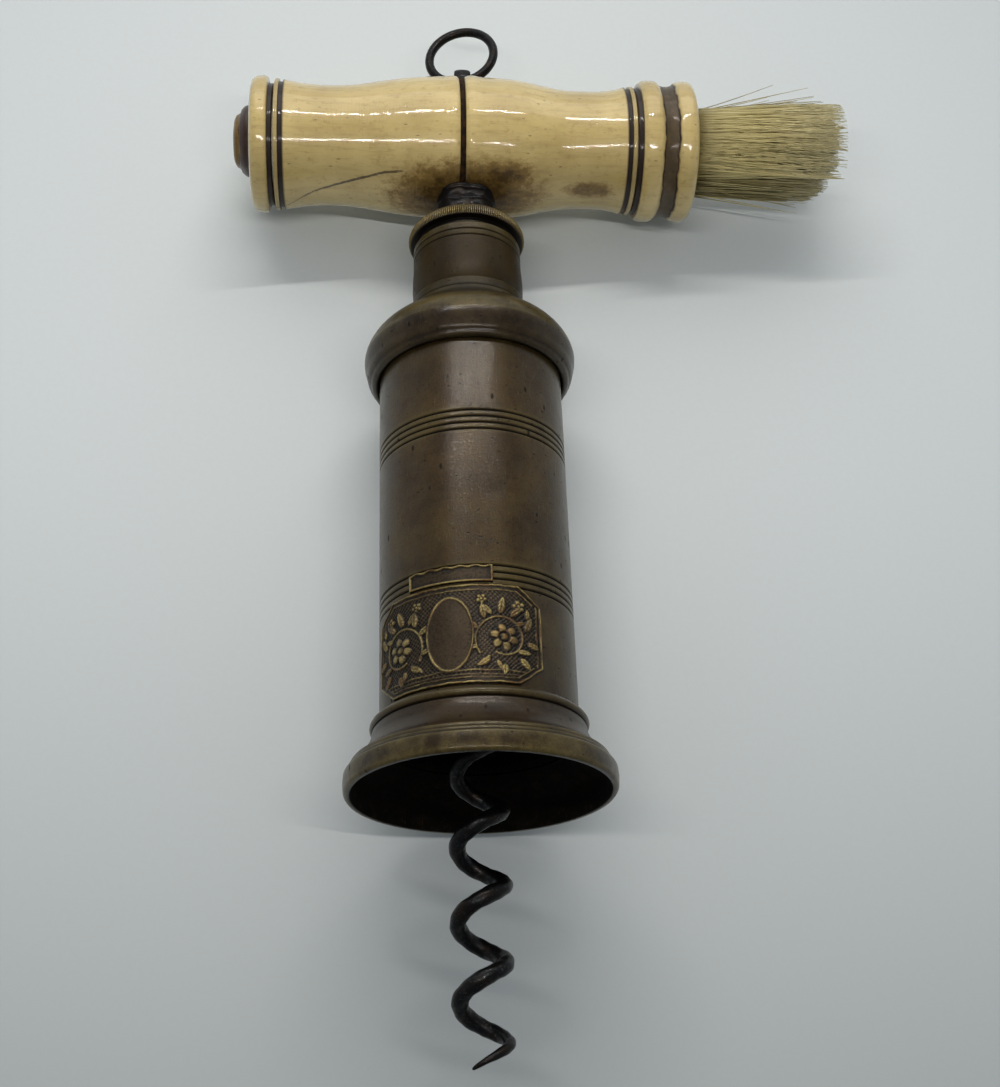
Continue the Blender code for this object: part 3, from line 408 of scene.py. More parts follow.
def brassLook(add):
    # Cast and cut brass: raised parts rubbed bright, plain parts brown, the ground sunk in oxide, and
    # painted shade where a piece sets its standing low, as under the milled head.
    look = {"bright": "#a5935a", "plain": "#382c1c", "grime": "#0c0905", "copper": "#7a5b34"}
    own = ownPlace(add)
    fine = add("TexNoise", [own, 2.6, 4.0, 0.65])
    broad = add("TexNoise", [own, 0.22, 4.0, 0.6])
    standing, reddish = [add("Attribute", out="Fac", attribute_name=name)
                         for name in ("standing", "reddish")]
    lift = add("Math ADD", [standing, (fine, 0.25, 0.75, -0.09, 0.05)])
    share = add("Math MULTIPLY", [(broad, 0.45, 0.62, 0.0, 1.0), reddish])
    raised = add("Mix RGBA", [share, look["bright"], look["copper"]])
    # the grime colour is oxide in the sunk ground, and painted shade where a piece is set low, as under the
    # milled head
    color = chain(add, "Mix RGBA", look["plain"], 1, [
        ((lift, 0.02, 0.23, 0.0, 1.0), raised), ((lift, -0.015, -0.1, 0.0, 0.95), look["grime"])])
    bump = add("Bump", {"Height": fine, "Strength": 0.4, "Distance": 0.00004})
    return {"Metallic": 0.55, "Specular IOR Level": 0.4, "Base Color": color,
            "Roughness": (fine, 0.3, 0.7, 0.27, 0.47), "Normal": bump}


def steelLook(add):
    # Forged steel, blued and then darkened by handling: pitted, with grey worn spots.
    look = {"dark": "#191a1c", "brown": "#211b17", "worn": "#77787a"}
    own = ownPlace(add)
    broad = add("TexNoise", [own, 0.45, 4.0, 0.6])
    fine = add("TexNoise", [own, 2.4, 4.0, 0.6])
    handled = add("Attribute", out="Fac", attribute_name="handled")
    worn = add("Math ADD", [handled, (fine, 0.56, 0.8, 0.0, 0.3)])
    color = chain(add, "Mix RGBA", look["dark"], 1, [
        ((broad, 0.42, 0.66, 0.0, 1.0), look["brown"]), (worn, look["worn"])])
    pits = add("TexVoronoi", [own, 1.3])
    height = add("Math MULTIPLY_ADD", [fine, 0.6, (pits, 0.05, 0.3, 0.0, 1.0)])
    bump = add("Bump", {"Height": height, "Strength": 0.4, "Distance": 0.00005})
    return {"Metallic": 0.85, "Specular IOR Level": 0.5, "Base Color": color,
            "Roughness": (fine, 0.3, 0.7, 0.46, 0.26), "Normal": bump}


def boneLook(add):
    # Ox bone, turned and burnished, yellowed by age: a waxy gloss over fine lathe rings and over
    # grain that runs along the handle, with short dark pores, and brown stain where iron and grease
    # have soaked in.
    look = {"light": "#c9b377", "deep": "#b0995f", "streak": "#8a7140", "pore": "#4b3918",
            "stain": "#3a270b", "stainEdge": "#7a5c26", "crack": "#35240f", "groove": "#20120a",
            "dust": "#432e1b"}
    own = ownPlace(add, centre=handleMiddle)
    broad = add("TexNoise", [own, 0.1, 4.0])
    cake = add("TexNoise", [own, 0.5, 5.0, 0.65])
    grain, fineGrain, ragged, rings, swell = [
        add("TexNoise", [ownPlace(add, stretch, handleMiddle), 1.0, detail, rough])
        for stretch, detail, rough in (
            ((0.06, 1.1, 1.1), 4.0, 0.6), ((0.16, 3.6, 3.6), 3.0, 0.6), ((0.6, 0.8, 0.8), 7.0, 0.75),
            ((2.8, 0.6, 0.6), 1.0, 0.5), ((0.5, 0.4, 0.4), 1.0, 0.5))]
    pores, dashes = [add("TexVoronoi", [ownPlace(add, stretch, handleMiddle), 1.0])
                     for stretch in ((0.2, 0.6, 0.6), (0.42, 1.5, 1.5))]
    stain, crack, standing, grime = [add("Attribute", out="Fac", attribute_name=name)
                                     for name in ("stain", "crack", "standing", "grime")]
    pore = add("MapRange", [pores, 0.09, 0.05, 0.0, 0.6])
    dash = add("Math MULTIPLY", [(dashes, 0.16, 0.06, 0.0, 0.55), (grain, 0.45, 0.62, 0.0, 1.0)])
    # the stain is 1 deep inside and falls to 0 outside, and noise breaks its edge
    stain = add("Math ADD", [stain, (ragged, 0.28, 0.72, -0.34, 0.34)])
    soaked = add("MapRange", [stain, 0.08, 0.5, 0.0, 0.8])
    crack = add("Math ADD", [crack, (fineGrain, 0.3, 0.7, -0.1, 0.1)])
    crack = add("MapRange", [crack, 0.12, -0.02, 0.0, 0.85])
    # dirt fills the grooves and the cove
    dirty = add("Math MAXIMUM", [(standing, -0.03, -0.13, 0.0, 1.0), grime])
    dusty = add("Math MULTIPLY", [(cake, 0.42, 0.68, 0.0, 1.0), (grime, 0.93, 0.99, 1.0, 0.0)])
    caked = add("Mix RGBA", [dusty, look["groove"], look["dust"]])
    color = chain(add, "Mix RGBA", look["light"], 1, [
        ((broad, 0.35, 0.72, 0.0, 1.0), look["deep"]), ((grain, 0.5, 0.78, 0.0, 0.4), look["streak"]),
        ((fineGrain, 0.56, 0.78, 0.0, 0.35), look["streak"]), (pore, look["pore"]), (dash, look["streak"]),
        (soaked, look["stainEdge"]), ((stain, 0.42, 1.0, 0.0, 0.88), look["stain"]), (crack, look["crack"]),
        (dirty, caked)])
    rough = add("Math MULTIPLY_ADD", [dirty, 0.16, (fineGrain, 0.3, 0.75, 0.32, 0.44)])
    coat = add("Math MULTIPLY", [(dirty, 0.0, 0.8, 0.95, 0.3), (soaked, 0.0, 0.85, 1.0, 0.45)])
    height = chain(add, "Math MULTIPLY_ADD", 0.0, 2, [
        (swell, 0.55), (rings, 1.9), (fineGrain, 0.25), (crack, -0.8), (pore, -0.6)])
    bump = add("Bump", {"Height": height, "Strength": 0.5, "Distance": 0.00004})
    return {"Subsurface Weight": 0.1, "Subsurface Radius": (0.0012, 0.0008, 0.0004), "Subsurface Scale": 1.0,
            "Coat Roughness": 0.035, "Coat IOR": 1.5, "Specular IOR Level": 0.25, "Base Color": color,
            "Roughness": rough, "Coat Weight": coat, "Normal": bump, "Coat Normal": bump}


def hornLook(add):
    # Dark ox horn, turned and polished: amber where it is thin or chipped, else purplish brown.
    look = {"amber": "#6b5223", "dark": "#38251e", "streak": "#1c120e"}
    bands = add("TexNoise", {"Vector": ownPlace(add, (0.5, 0.3, 0.3), handleMiddle), "Scale": 1.0,
                             "Detail": 5.0, "Distortion": 0.8})
    fine = add("TexNoise", [ownPlace(add, centre=handleMiddle), 1.5, 3.0])
    amber = add("Attribute", out="Fac", attribute_name="amber")
    amber = add("Math ADD", [amber, (bands, 0.35, 0.65, -0.4, 0.4)])
    color = chain(add, "Mix RGBA", look["dark"], 1, [
        ((amber, 0.25, 0.75, 0.0, 1.0), look["amber"]), ((fine, 0.56, 0.72, 0.0, 0.7), look["streak"])])
    bump = add("Bump", {"Height": fine, "Strength": 0.4, "Distance": 0.00006})
    return {"Coat Weight": 0.2, "Coat Roughness": 0.15, "Specular IOR Level": 0.3, "Base Color": color,
            "Roughness": (bands, 0.3, 0.7, 0.28, 0.46), "Normal": bump}


def seamLook(add):
    # Horn packing in the middle joint, dull and black with handling dirt.
    dirt = add("TexNoise", [ownPlace(add), 0.9, 4.0])
    color = add("Mix RGBA", [(dirt, 0.45, 0.7, 0.0, 1.0), "#150c05", "#3a2613"])
    return {"Roughness": 0.7, "Specular IOR Level": 0.1, "Base Color": color}


def woodLook(add):
    # Boxwood dowel, turned and left bare.
    grain = add("TexNoise", [ownPlace(add, (0.1, 1.6, 1.6), handleMiddle), 1.0, 4.0])
    return {"Roughness": 0.65, "Base Color": add("Mix RGBA", [grain, "#a07a48", "#6d4d2a"])}


def bristleLook(add):
    # Hog bristle: straw-coloured keratin, paler at the split tips and darker at the root. Each strand's
    # colour is multiplied by a share that is partly its own tone and partly painted shade, lighter for the
    # strands on top.
    look = {"root": "#85794b", "straw": "#d3c68d", "tip": "#eadfb0", "shadedStrand": "#918869", "plain": "#ffffff"}
    reach, strand = [add("Attribute", out="Fac", attribute_name=name) for name in ("reach", "strand")]
    color = chain(add, "Mix RGBA", look["root"], 1, [
        ((reach, 0.0, 0.3, 0.0, 1.0), look["straw"]), ((reach, 0.55, 1.0, 0.0, 1.0), look["tip"])])
    # painted shade: strands below the top are darkened towards the shaded colour, and the strands crossing
    # over the top are kept light
    shade = add("Mix RGBA", [strand, look["shadedStrand"], look["plain"]])
    return {"Roughness": 0.45, "Specular IOR Level": 0.4,
            "Base Color": add("Mix RGBA", [1.0, color, shade], blend_type='MULTIPLY')}


bronze, brass, steel, bone, horn, seam, wood, bristle = [makeMaterial(*entry) for entry in (
    ("patinated bronze", bronzeLook), ("tarnished brass", brassLook), ("blackened steel", steelLook),
    ("burnished bone", boneLook), ("polished horn", hornLook), ("blackened horn packing", seamLook),
    ("boxwood", woodLook), ("hog bristle", bristleLook))]
slotMaterials = {"bronze": bronze, "brass": brass, "steel": steel, "bone": bone, "horn": horn, "wood": wood,
                 "bristle": bristle}
for subpart in record["subparts"]:
    cadMesh = bpy.data.objects[subpart["node"]].data
    cadMesh.materials.clear()
    cadMesh.materials.append(slotMaterials[subpart["material_slot"]])
print("materials made")


# Barrel: tube, bell, shoulder cap and neck

barrel = {"bandMiddles": (58.6, 30.4), "bandReach": 2.4, "groovePitch": 1.17, "grooveWidth": 0.66,
          "grooveDepth": 0.28, "grooves": 4, "columns": 220, "rowStep": 0.7, "grooveStep": 0.06,
          "innerStep": 1.5,
          "dents": ((45.2, 8, 0.05, 1.2), (41.0, 29, 0.06, 1.0), (66, 46, 0.05, 1.6), (50, -40, 0.05, 2.2),
                    (36, 55, 0.05, 1.5), (24, 120, 0.08, 2.5)),
          "tint": [(8, "#4b3d2b", 0.3), (27.9, "#4e3e28", 0.3), (28.2, "#4e4029", 0.6),
                   (32.6, "#4e4029", 0.6), (32.9, "#4f3e28", 0.3), (56.1, "#523f29", 0.32),
                   (56.4, "#52422c", 0.6), (60.8, "#52422c", 0.6), (61.1, "#523f29", 0.3),
                   (72, "#4d3c28", 0.3), (74.5, "#443930", 0.3)]}


def makeBarrelTube():
    bore, skin = cadRadii("barrel_tube")
    low, high = tubeLow[1], tubeHigh[1]
    band = np.arange(-barrel["bandReach"], barrel["bandReach"], barrel["grooveStep"])
    places = [np.arange(low, high, barrel["rowStep"])] + [middle + band for middle in barrel["bandMiddles"]]
    places = np.unique(np.round(np.append(np.concatenate(places), high), 3))
    middles = [middle + (k - (barrel["grooves"] - 1) / 2) * barrel["groovePitch"]
               for middle in barrel["bandMiddles"] for k in range(barrel["grooves"])]
    outer = cutGrooves(places, skin, middles, barrel)
    innerPlaces = np.linspace(low, high, math.ceil((high - low) / barrel["innerStep"]))
    inner = np.stack([innerPlaces, np.full(len(innerPlaces), bore)], axis=1)

    def dents(place, angle, radius):
        # shallow hollows pressed in by use, each a bell curve over the surface
        total = np.zeros(np.broadcast(place, angle).shape)
        for at, middle, depth, size in barrel["dents"]:
            across = (np.angle(np.exp(1j * (angle - math.radians(middle))))) * skin
            total -= depth * np.exp(-((place - at) ** 2 + across ** 2) / size ** 2)
        return total * (radius > skin - 0.5)
    piece = addTurned("barrelTube", outer, inner, barrel["columns"], bronze, tint=barrel["tint"],
                      swell=dents)
    keepPiece(piece, "barrel", "bronze", "barrel_tube")


bell = {"columns": 240, "step": 0.25, "rimInside": 20.45, "socketGap": 0.3,
        "outline": [(0, 0.94, 1), (0.35, 0.985), (0.9, 0.998), (2.2, 1.0), (3.1, 0.985, 1), (3.3, 0.93, 1),
                    (3.55, 0.905), (3.85, 0.895, 1), (4.05, 0.845), (4.7, 0.81, 1), (4.85, 0.75, 1),
                    (5.6, 0.586), (6.4, 0.463), (7.4, 0.339), (8.6, 0.245), (9.9, 0.205, 1), (10.1, 0.17, 1),
                    (10.35, 0.245), (10.8, 0.275), (11.25, 0.245), (11.5, 0.16, 1), (11.8, 0.13, 1)],
        "throat": [(0, 1, 1), (1.5, 0.985), (3.5, 0.88), (5.0, 0.562), (6.5, 0.236), (8.02, 0, 1)],
        "tint": [(0, "#54472a", 1.0), (0.5, "#4a3d27", 1.0), (1.6, "#443628", 0.95), (2.9, "#42362a", 0.9),
                 (3.5, "#4a3f29", 0.8), (4.3, "#54482c", 0.9), (4.9, "#3d2f26", 0.25),
                 (7.0, "#423129", 0.25), (9.8, "#44352b", 0.3), (10.7, "#4a3b2c", 0.6),
                 (11.8, "#3e3123", 0.3)]}


def makeBellMouth():
    bore, rim = cadRadii("bell_mouth")
    outer = drawProfile(placeKeys(bell["outline"], 0, 1, tubeRadius, rim - tubeRadius), bell["step"])
    socket = tubeRadius + bell["socketGap"]
    throat = placeKeys(bell["throat"], 0, 1, bore, bell["rimInside"] - bore)
    inner = drawProfile(throat + [(8.04, socket, 1), (11.8, socket, 1)], 0.5)
    piece = addTurned("bellMouth", outer, inner, bell["columns"], bronze, tint=bell["tint"])
    keepPiece(piece, "barrel", "bronze", "bell_mouth")


cap = {"columns": 240, "step": 0.25, "topRadius": 10.1, "socket": 16.175, "bore": 14.625, "hole": 9.5,
       "holeFrom": 85.9,
       "outline": [(0, 0.77, 1), (0.25, 0.83), (0.9, 0.87), (1.2, 0.9, 1), (1.6, 0.925), (2.6, 0.955),
                   (3.9, 0.99), (5.0, 1.0, 1), (6.2, 0.965), (7.6, 0.885), (8.7, 0.79), (9.6, 0.69, 1),
                   (10.1, 0.6), (11.0, 0.43), (11.8, 0.3), (12.8, 0.17), (13.9, 0.08), (14.9, 0.045, 1),
                   (15.1, 0.02, 1), (17, 0, 1)],
       "dome": [(3.35, 1, 1), (7.1, 0.9), (9.9, 0.4), (11.1, 0.12)],
       "tint": [(74.2, "#382c26", 0.3), (76, "#3c2e27", 0.3), (78.6, "#3a2c25", 0.3), (79.4, "#4e4227", 1.0),
                (80.8, "#51452a", 1.0), (83.2, "#4b402c", 0.6), (84.4, "#382e21", 0.2),
                (87, "#332a1f", 0.15), (89, "#3c3321", 0.25), (91.2, "#352b1a", 0.2)]}


def makeShoulderCap():
    low, high = cadSpan("shoulder_cap")
    base, top, hole = low[1], cap["topRadius"], cap["hole"]
    flange = cadRadii("shoulder_cap")[1]
    outer = drawProfile(placeKeys(cap["outline"], base, 1, top, flange - top), cap["step"])
    dome = placeKeys(cap["dome"], base, 1, hole, cap["bore"] - hole)
    inner = drawProfile([(base, cap["socket"], 1), (base + 3.3, cap["socket"], 1)] + dome
                        + [(cap["holeFrom"], hole, 1), (high[1], hole, 1)], 0.6)
    piece = addTurned("shoulderCap", outer, inner, cap["columns"], bronze, tint=cap["tint"])
    keepPiece(piece, "barrel", "bronze", "shoulder_cap")


thread = {"starts": 3, "lead": 12.0, "crestShare": 0.3, "rootShare": 0.04, "step": 0.55}


def threadPoints(places, rod, hand, fade=0):
    # How far round a point is from the nearest crest, as a share of the way to the root, gives a
    # flat crest and a flank that falls evenly to a narrow root. The thread fades out at both ends.
    angle = turn * np.arange(rod["columns"]) / rod["columns"]
    phase = (thread["starts"] * (angle[None, :] / turn - hand * places[:, None] / thread["lead"])) % 1.0
    away = np.abs(phase - 0.5) * 2
    full = smoothRange(away, thread["rootShare"], 1 - thread["crestShare"])
    if fade:
        full = full * smoothRange(places, places[0], places[0] + fade)[:, None]
        full = full * (1 - smoothRange(places, places[-1] - fade, places[-1]))[:, None]
    radius = rod["root"] + (rod["crest"] - rod["root"]) * full
    place = np.repeat(places[:, None], rod["columns"], axis=1)
    return np.stack([radius * np.sin(angle), place, radius * np.cos(angle)], axis=-1), (full - 0.6) * 0.16


neck = {"columns": 168, "crest": 8.5, "root": 7.2, "spigot": 9.2, "shoulder": 91.5, "topHole": 8.6,
        "grooveDrops": (1.7, 3.0), "grooveWidth": 0.5, "grooveDepth": 0.18, "grooveStep": 0.06,
        "tint": [(85, "#382d1f", 0.0), (91.5, "#3b2f1d", 0.12), (93, "#3e311e", 0.1), (100, "#3e311e", 0.12),
                 (101, "#4a3e22", 0.15), (103.5, "#55482a", 0.4)]}


def makeNeck():
    low, high = cadSpan("threaded_neck")
    radius, top, shoulder, columns = (high[0] - low[0]) / 2, high[1], neck["shoulder"], neck["columns"]
    lower = drawProfile([(low[1], neck["spigot"], 1), (shoulder, neck["spigot"], 1),
                         (shoulder + 0.02, radius - 0.1, 1), (shoulder + 0.5, radius),
                         (top - 3.6, radius)], 0.5)
    places = np.arange(top - 3.55, top - 1.2, neck["grooveStep"])
    grooved = cutGrooves(places, radius, [top - drop for drop in neck["grooveDrops"]], neck)
    upper = drawProfile([(top - 1.15, radius), (top - 0.35, radius, 1), (top, radius - 0.35, 1),
                         (top, neck["topHole"])], 0.3)
    outer = np.vstack([lower, grooved, upper])
    inside, relief = threadPoints(np.arange(low[1], top, thread["step"]), neck, -1)
    points, faces = closedSkin(np.concatenate([turnedPoints(outer, columns), inside[::-1]]))
    standing = np.concatenate([np.repeat(reliefAlong(outer), columns), -relief[::-1].ravel()])
    # painted shade: the neck's inside thread gets the near black inside colour
    colors = np.tile(paintedInsideShade, (len(standing), 1))
    colors[:len(outer) * columns] = np.repeat(tintAlong(outer[:, 0], neck["tint"]), columns, 0)
    piece = addMesh("neck", points, faces, bronze, {"standing": standing, "tint": colors})
    keepPiece(piece, "barrel", "bronze", "threaded_neck")


makeBarrelTube()
makeBellMouth()
makeShoulderCap()
makeNeck()
print("barrel made")


# Handle: bone halves, line, cap, ferrule and button

handle = {"columns": 288, "step": 0.45, "tangHole": 3.6, "drillColumns": 64, "marrow": 7.0,
          "closeUp": 0.25, "grooveDrop": 0.42,
          "left": [(0.12, 1.0), (0.25, 0.983), (0.36, 0.952), (0.48, 0.908), (0.6, 0.864), (0.7, 0.848),
                   (0.8, 0.851), (0.9, 0.872), (0.965, 0.898), (1.0, 0.912, 1)],
          "right": [(0.12, 0.998), (0.25, 0.985), (0.36, 0.955), (0.49, 0.893), (0.62, 0.843),
                    (0.74, 0.833), (0.86, 0.842), (0.94, 0.868), (1.0, 0.905, 1)]}
leftLow, leftHigh = cadSpan("handle_bone_left")
handleRadius = (leftHigh[1] - leftLow[1]) / 2


def boneFields(points):
    # stain round the boss and the small one beside it, and the crack, from each point's place
    # along the handle and round it (degrees from the top, minus towards the worm)
    x = points[..., 0]
    around = np.degrees(np.arctan2(points[..., 1] - handleAt, points[..., 2]))
    stain = 1.62 - 1.25 * np.hypot((x + 0.2) / 13.6, (around + 84) / 34)
    small = np.minimum(0.62, 1.25 - np.hypot((x - 23.3) / 4.6, (around + 81) / 10))
    drips = 1.2 - np.hypot((x - 7.0) / 6.5, (around + 62) / 15)
    stain = np.clip(np.maximum(np.maximum(stain, small), drips), 0, 1)
    line = np.interp(x, [-34, -32.8, -30, -28, -25.2, -19.6, -15.0, -11.3],
                     [-112, -106, -94, -87, -81, -70, -62, -60])
    width = np.interp(x, [-34, -32, -22, -12, -10.5], [0.14, 0.22, 0.28, 0.16, -0.4])
    crack = np.abs(around - line) * handleRadius * math.pi / 180 - width
    return {"stain": stain, "crack": np.clip(crack, -1, 5)}


def boreHole(piece):
    # the tang's hole, cut by a drill that is thrown away afterwards
    places = (handleAt - 2 * handleRadius, handleAt + 2 * handleRadius)
    rows = drawProfile([(place, handle["tangHole"]) for place in places], 6)
    rows = turnedPoints(rows, handle["drillColumns"])
    drill = addMesh("drill", *closedSkin(rows, [[0, place, 0] for place in places]), steel)
    cut = piece.modifiers.new("tang hole", 'BOOLEAN')
    cut.operation = 'DIFFERENCE'
    cut.solver = 'EXACT'
    cut.object = drill
    evaluated = piece.evaluated_get(bpy.context.evaluated_depsgraph_get())
    cutMesh = bpy.data.meshes.new_from_object(evaluated)
    piece.modifiers.clear()
    piece.data = cutMesh
    bpy.data.objects.remove(drill)
    while len(cutMesh.materials) > 1:
        cutMesh.materials.pop()


def addBone(name, outer, inner, grime, swell=None):
    # grime gives the dirt on the outside from each point's place along the handle and round it
    piece = addTurned(name, outer, inner, handle["columns"], bone, along='handle', swell=swell, reach=0.45)
    own = meshPoints(piece.data)
    outside = np.hypot(own[:, 1] - handleAt, own[:, 2]) > 9
    dirt = grime(own[:, 0], np.arctan2(own[:, 1] - handleAt, own[:, 2])) * outside
    writeData(piece.data, {**boneFields(own), "grime": dirt})
    return piece


def handWorn(place, angle, radius):
    # turned by hand: a long wave of a tenth of a millimetre along and round
    return 0.08 * np.sin(place * 0.21 + 1.3) * np.cos(2 * angle + 0.6) * (radius > 10)


def makeBoneHalf(name, node, keys, direction, length):
    low, high = cadSpan(node)
    start = (high[0] if direction < 0 else low[0]) - direction * handle["closeUp"]
    edge = handleRadius * keys[-1][1]
    bottom = edge - handle["grooveDrop"]
    groove, band = length + 0.8, length + 1.6
    outline = [(start, handleRadius * 0.985, 1), (start + direction * 0.25, handleRadius)]
    outline += placeKeys(keys, 0, direction * length, 0, handleRadius)
    outline += [(direction * (length - 0.1), bottom, 1), (direction * (groove - 0.05), bottom, 1),
                (direction * groove, edge + 0.1, 1), (direction * (band - 0.1), edge + 0.15, 1),
                (direction * band, edge - 0.1, 1)]
    outer = drawProfile(outline, handle["step"], 0.08)
    inner = drawProfile([(start, handle["marrow"]), (direction * band, handle["marrow"])], 2.0)

    def grime(place, around):
        # dirt fills the groove, and the thin band past it is greyed all over
        far = np.abs(place)
        filled = smoothRange(far, length - 0.17, length - 0.1)
        filled = filled * (1 - smoothRange(far, groove - 0.06, groove + 0.01))
        return np.maximum(filled, 0.3 * smoothRange(far, length + 0.6, length + 0.7))
    piece = addBone(name, outer, inner, grime, handWorn)
    boreHole(piece)
    keepPiece(piece, "shank", "bone", node)


def makeCentreLine():
    low, high = (corner[0] for corner in cadSpan("centre_line_front"))
    edge, skin = 12.95, 13.03
    outer = drawProfile([(low, edge, 1), (low + 0.2, skin), (high - 0.2, skin), (high, edge, 1)], 0.15)
    inner = drawProfile([(low, handle["marrow"]), (high, handle["marrow"])], 0.5)
    piece = addTurned("centreLine", outer, inner, handle["columns"], seam, along='handle')
    boreHole(piece)
    keepPiece(piece, "shank", "horn", "centre_line_front", "centre_line_back")


endCap = {"shoulder": -36.65, "spigot": 11.2, "hole": 6.5,
          "shares": [(0.0, 0.955, 1), (0.06, 0.985), (0.16, 0.998), (0.4, 1.0), (0.72, 0.985), (0.9, 0.95),
                     (1.0, 0.88, 1)]}


def makeEndCap():
    low, high = cadSpan("end_cap")
    shoulder, spigot = endCap["shoulder"], endCap["spigot"]
    keys = placeKeys(endCap["shares"], shoulder, low[0] - shoulder, 0, (high[1] - low[1]) / 2)
    outer = drawProfile([(high[0], spigot, 1), (shoulder + 0.05, spigot, 1)] + keys, 0.3, 0.1)
    inner = drawProfile([(high[0], endCap["hole"]), (low[0], endCap["hole"])], 1.0)

    def grime(place, around):
        return smoothRange(place, shoulder, shoulder + 0.15)
    piece = addBone("endCap", outer, inner, grime)
    keepPiece(piece, "shank", "bone", "end_cap")


ferrule = {"start": 32.85, "spigot": 11.7, "hole": 8.6,
           "shares": [(0.0, 0.955, 1), (0.055, 0.985), (0.19, 1.0), (0.31, 0.985), (0.36, 0.95, 1),
                      (0.38, 0.935), (0.43, 0.925), (0.51, 0.918), (0.59, 0.928), (0.635, 0.94, 1),
                      (0.67, 0.972), (0.74, 0.99), (0.84, 1.0), (0.92, 0.985),
                      (0.97, 0.95), (1.0, 0.895, 1)]}


def makeFerrule():
    low, high = cadSpan("brush_ferrule")
    start, spigot = ferrule["start"], ferrule["spigot"]
    length = high[0] - start
    keys = placeKeys(ferrule["shares"], start, length, 0, (high[1] - low[1]) / 2)
    outer = drawProfile([(low[0], spigot, 1), (start - 0.05, spigot, 1)] + keys, 0.25, 0.1)
    inner = drawProfile([(low[0], ferrule["hole"]), (high[0], ferrule["hole"])], 1.5)

    def grime(place, around):
        # the cove between the bead and the end ring, with a wavering edge that is darkest
        waver = 0.1 * np.sin(5 * around) + 0.07 * np.sin(17 * around + 1) + 0.03 * np.sin(41 * around)
        share = (place - start + waver) / length
        cove, rimOne, rimTwo = (smoothRange(share, a, b) * (1 - smoothRange(share, c, d)) for a, b, c, d in (
            (0.345, 0.38, 0.63, 0.665), (0.355, 0.375, 0.39, 0.43), (0.58, 0.62, 0.635, 0.655)))
        joint = 1 - smoothRange(place, start - 0.1, start + 0.02)
        return np.clip(np.maximum(cove * 0.92, rimOne + rimTwo) + joint, 0, 1)
    piece = addBone("brushFerrule", outer, inner, grime)
    keepPiece(piece, "shank", "bone", "brush_ferrule")


button = {"columns": 96, "spigot": 6.2, "chamferTo": 2.9,
          "outline": [(3.0, 7.0, 1), (2.2, 6.8), (1.35, 6.1, 1), (1.2, 5.5, 1), (0.4, 5.1, 1), (0.05, 4.4),
                      (0, 2.5), (0.2, 0)]}


def makeButton():
    low, high = (corner[0] for corner in cadSpan("horn_button"))
    spigot = [(high, 0, 1), (high, button["spigot"], 1), (low + 3.02, button["spigot"], 1)]
    outline = drawProfile(spigot + placeKeys(button["outline"], low, 1, 0, 1), 0.3, 0.12)
    outline[[0, -1], 1] = 0

    def lumpy(place, angle, radius):
        # cut by hand, so its rim isn't quite round and its chamfer is uneven
        share = radius / 7.6 * (place < low + button["chamferTo"])
        chip = 0.5 * smoothRange(np.cos(angle + 2.4), 0.5, 0.95)
        facets = 0.35 * (0.5 + 0.5 * np.sin(5 * angle)) * (place < low + 1.0)
        return share * (0.45 * np.sin(angle) - 0.12 * (0.5 + 0.5 * np.sin(3 * angle + 0.7)) - chip - facets)
    piece = addTurned("hornButton", outline, None, button["columns"], horn, along='handle', swell=lumpy)
    # thin horn lets light through at the chamfer's outer edge
    thin = 1 - smoothRange(meshPoints(piece.data)[:, 0], low + 0.7, low + 1.5)
    writeData(piece.data, {"amber": thin})
    keepPiece(piece, "shank", "horn", "horn_button")


makeBoneHalf("boneLeft", "handle_bone_left", handle["left"], -1, 33.9)
makeBoneHalf("boneRight", "handle_bone_right", handle["right"], 1, 30.1)
makeCentreLine()
makeEndCap()
makeFerrule()
makeButton()
print("handle made")


# Plaque and banner

relief = {"turnShare": -0.052, "halfTurnShare": 0.147, "top": 28.7, "bottom": 12.3, "cutAlong": 3.1,
          "cutTurnShare": 0.04, "step": 0.125, "base": 0.35, "rim": 0.34,
          "leaves": (((12.0, 0.6), 62, 2.6, 0.62), ((12.3, -1.4), -22, 2.0, 0.6),
                     ((11.0, -4.0), -52, 2.4, 0.62), ((8.6, -5.0), -100, 1.9, 0.6),
                     ((6.3, -4.2), -150, 2.2, 0.62), ((4.4, -2.4), 168, 1.9, 0.5),
                     ((4.6, 0.8), 142, 2.0, 0.6), ((5.6, 2.4), 96, 2.5, 0.62), ((8.0, 3.2), 75, 2.9, 0.7),
                     ((9.6, 2.9), 35, 2.4, 0.6), ((10.3, 1.5), 12, 1.8, 0.45), ((6.7, 3.0), 122, 2.2, 0.5),
                     ((10.6, -2.9), -8, 2.2, 0.5), ((7.4, -4.5), -72, 1.7, 0.42),
                     ((12.4, 2.6), 88, 1.8, 0.42))}
plaqueHalf = (relief["top"] - relief["bottom"]) / 2


def leaf(u, v, at, angle, length, width, height):
    # a pointed leaf lying from its foot along an angle, domed across, with a groove for its rib
    a = math.radians(angle)
    along = ((u - at[0]) * math.cos(a) + (v - at[1]) * math.sin(a)) / length
    across = -(u - at[0]) * math.sin(a) + (v - at[1]) * math.cos(a)
    inside = (along > 0) & (along < 1)
    half = width * np.sin(math.pi * np.clip(along, 0, 1) ** 0.8) ** 0.75 + 1e-6
    dome = np.sqrt(np.clip(1 - (across / half) ** 2, 0, 1))
    rib = 0.4 * np.exp(-(across / 0.11) ** 2)
    veins = 0.12 * np.sin(along * 26 + np.abs(across) * 7) * (np.abs(across) > 0.12)
    return np.where(inside, height * np.clip(dome * (1 - rib + veins), 0, 1.2), 0)


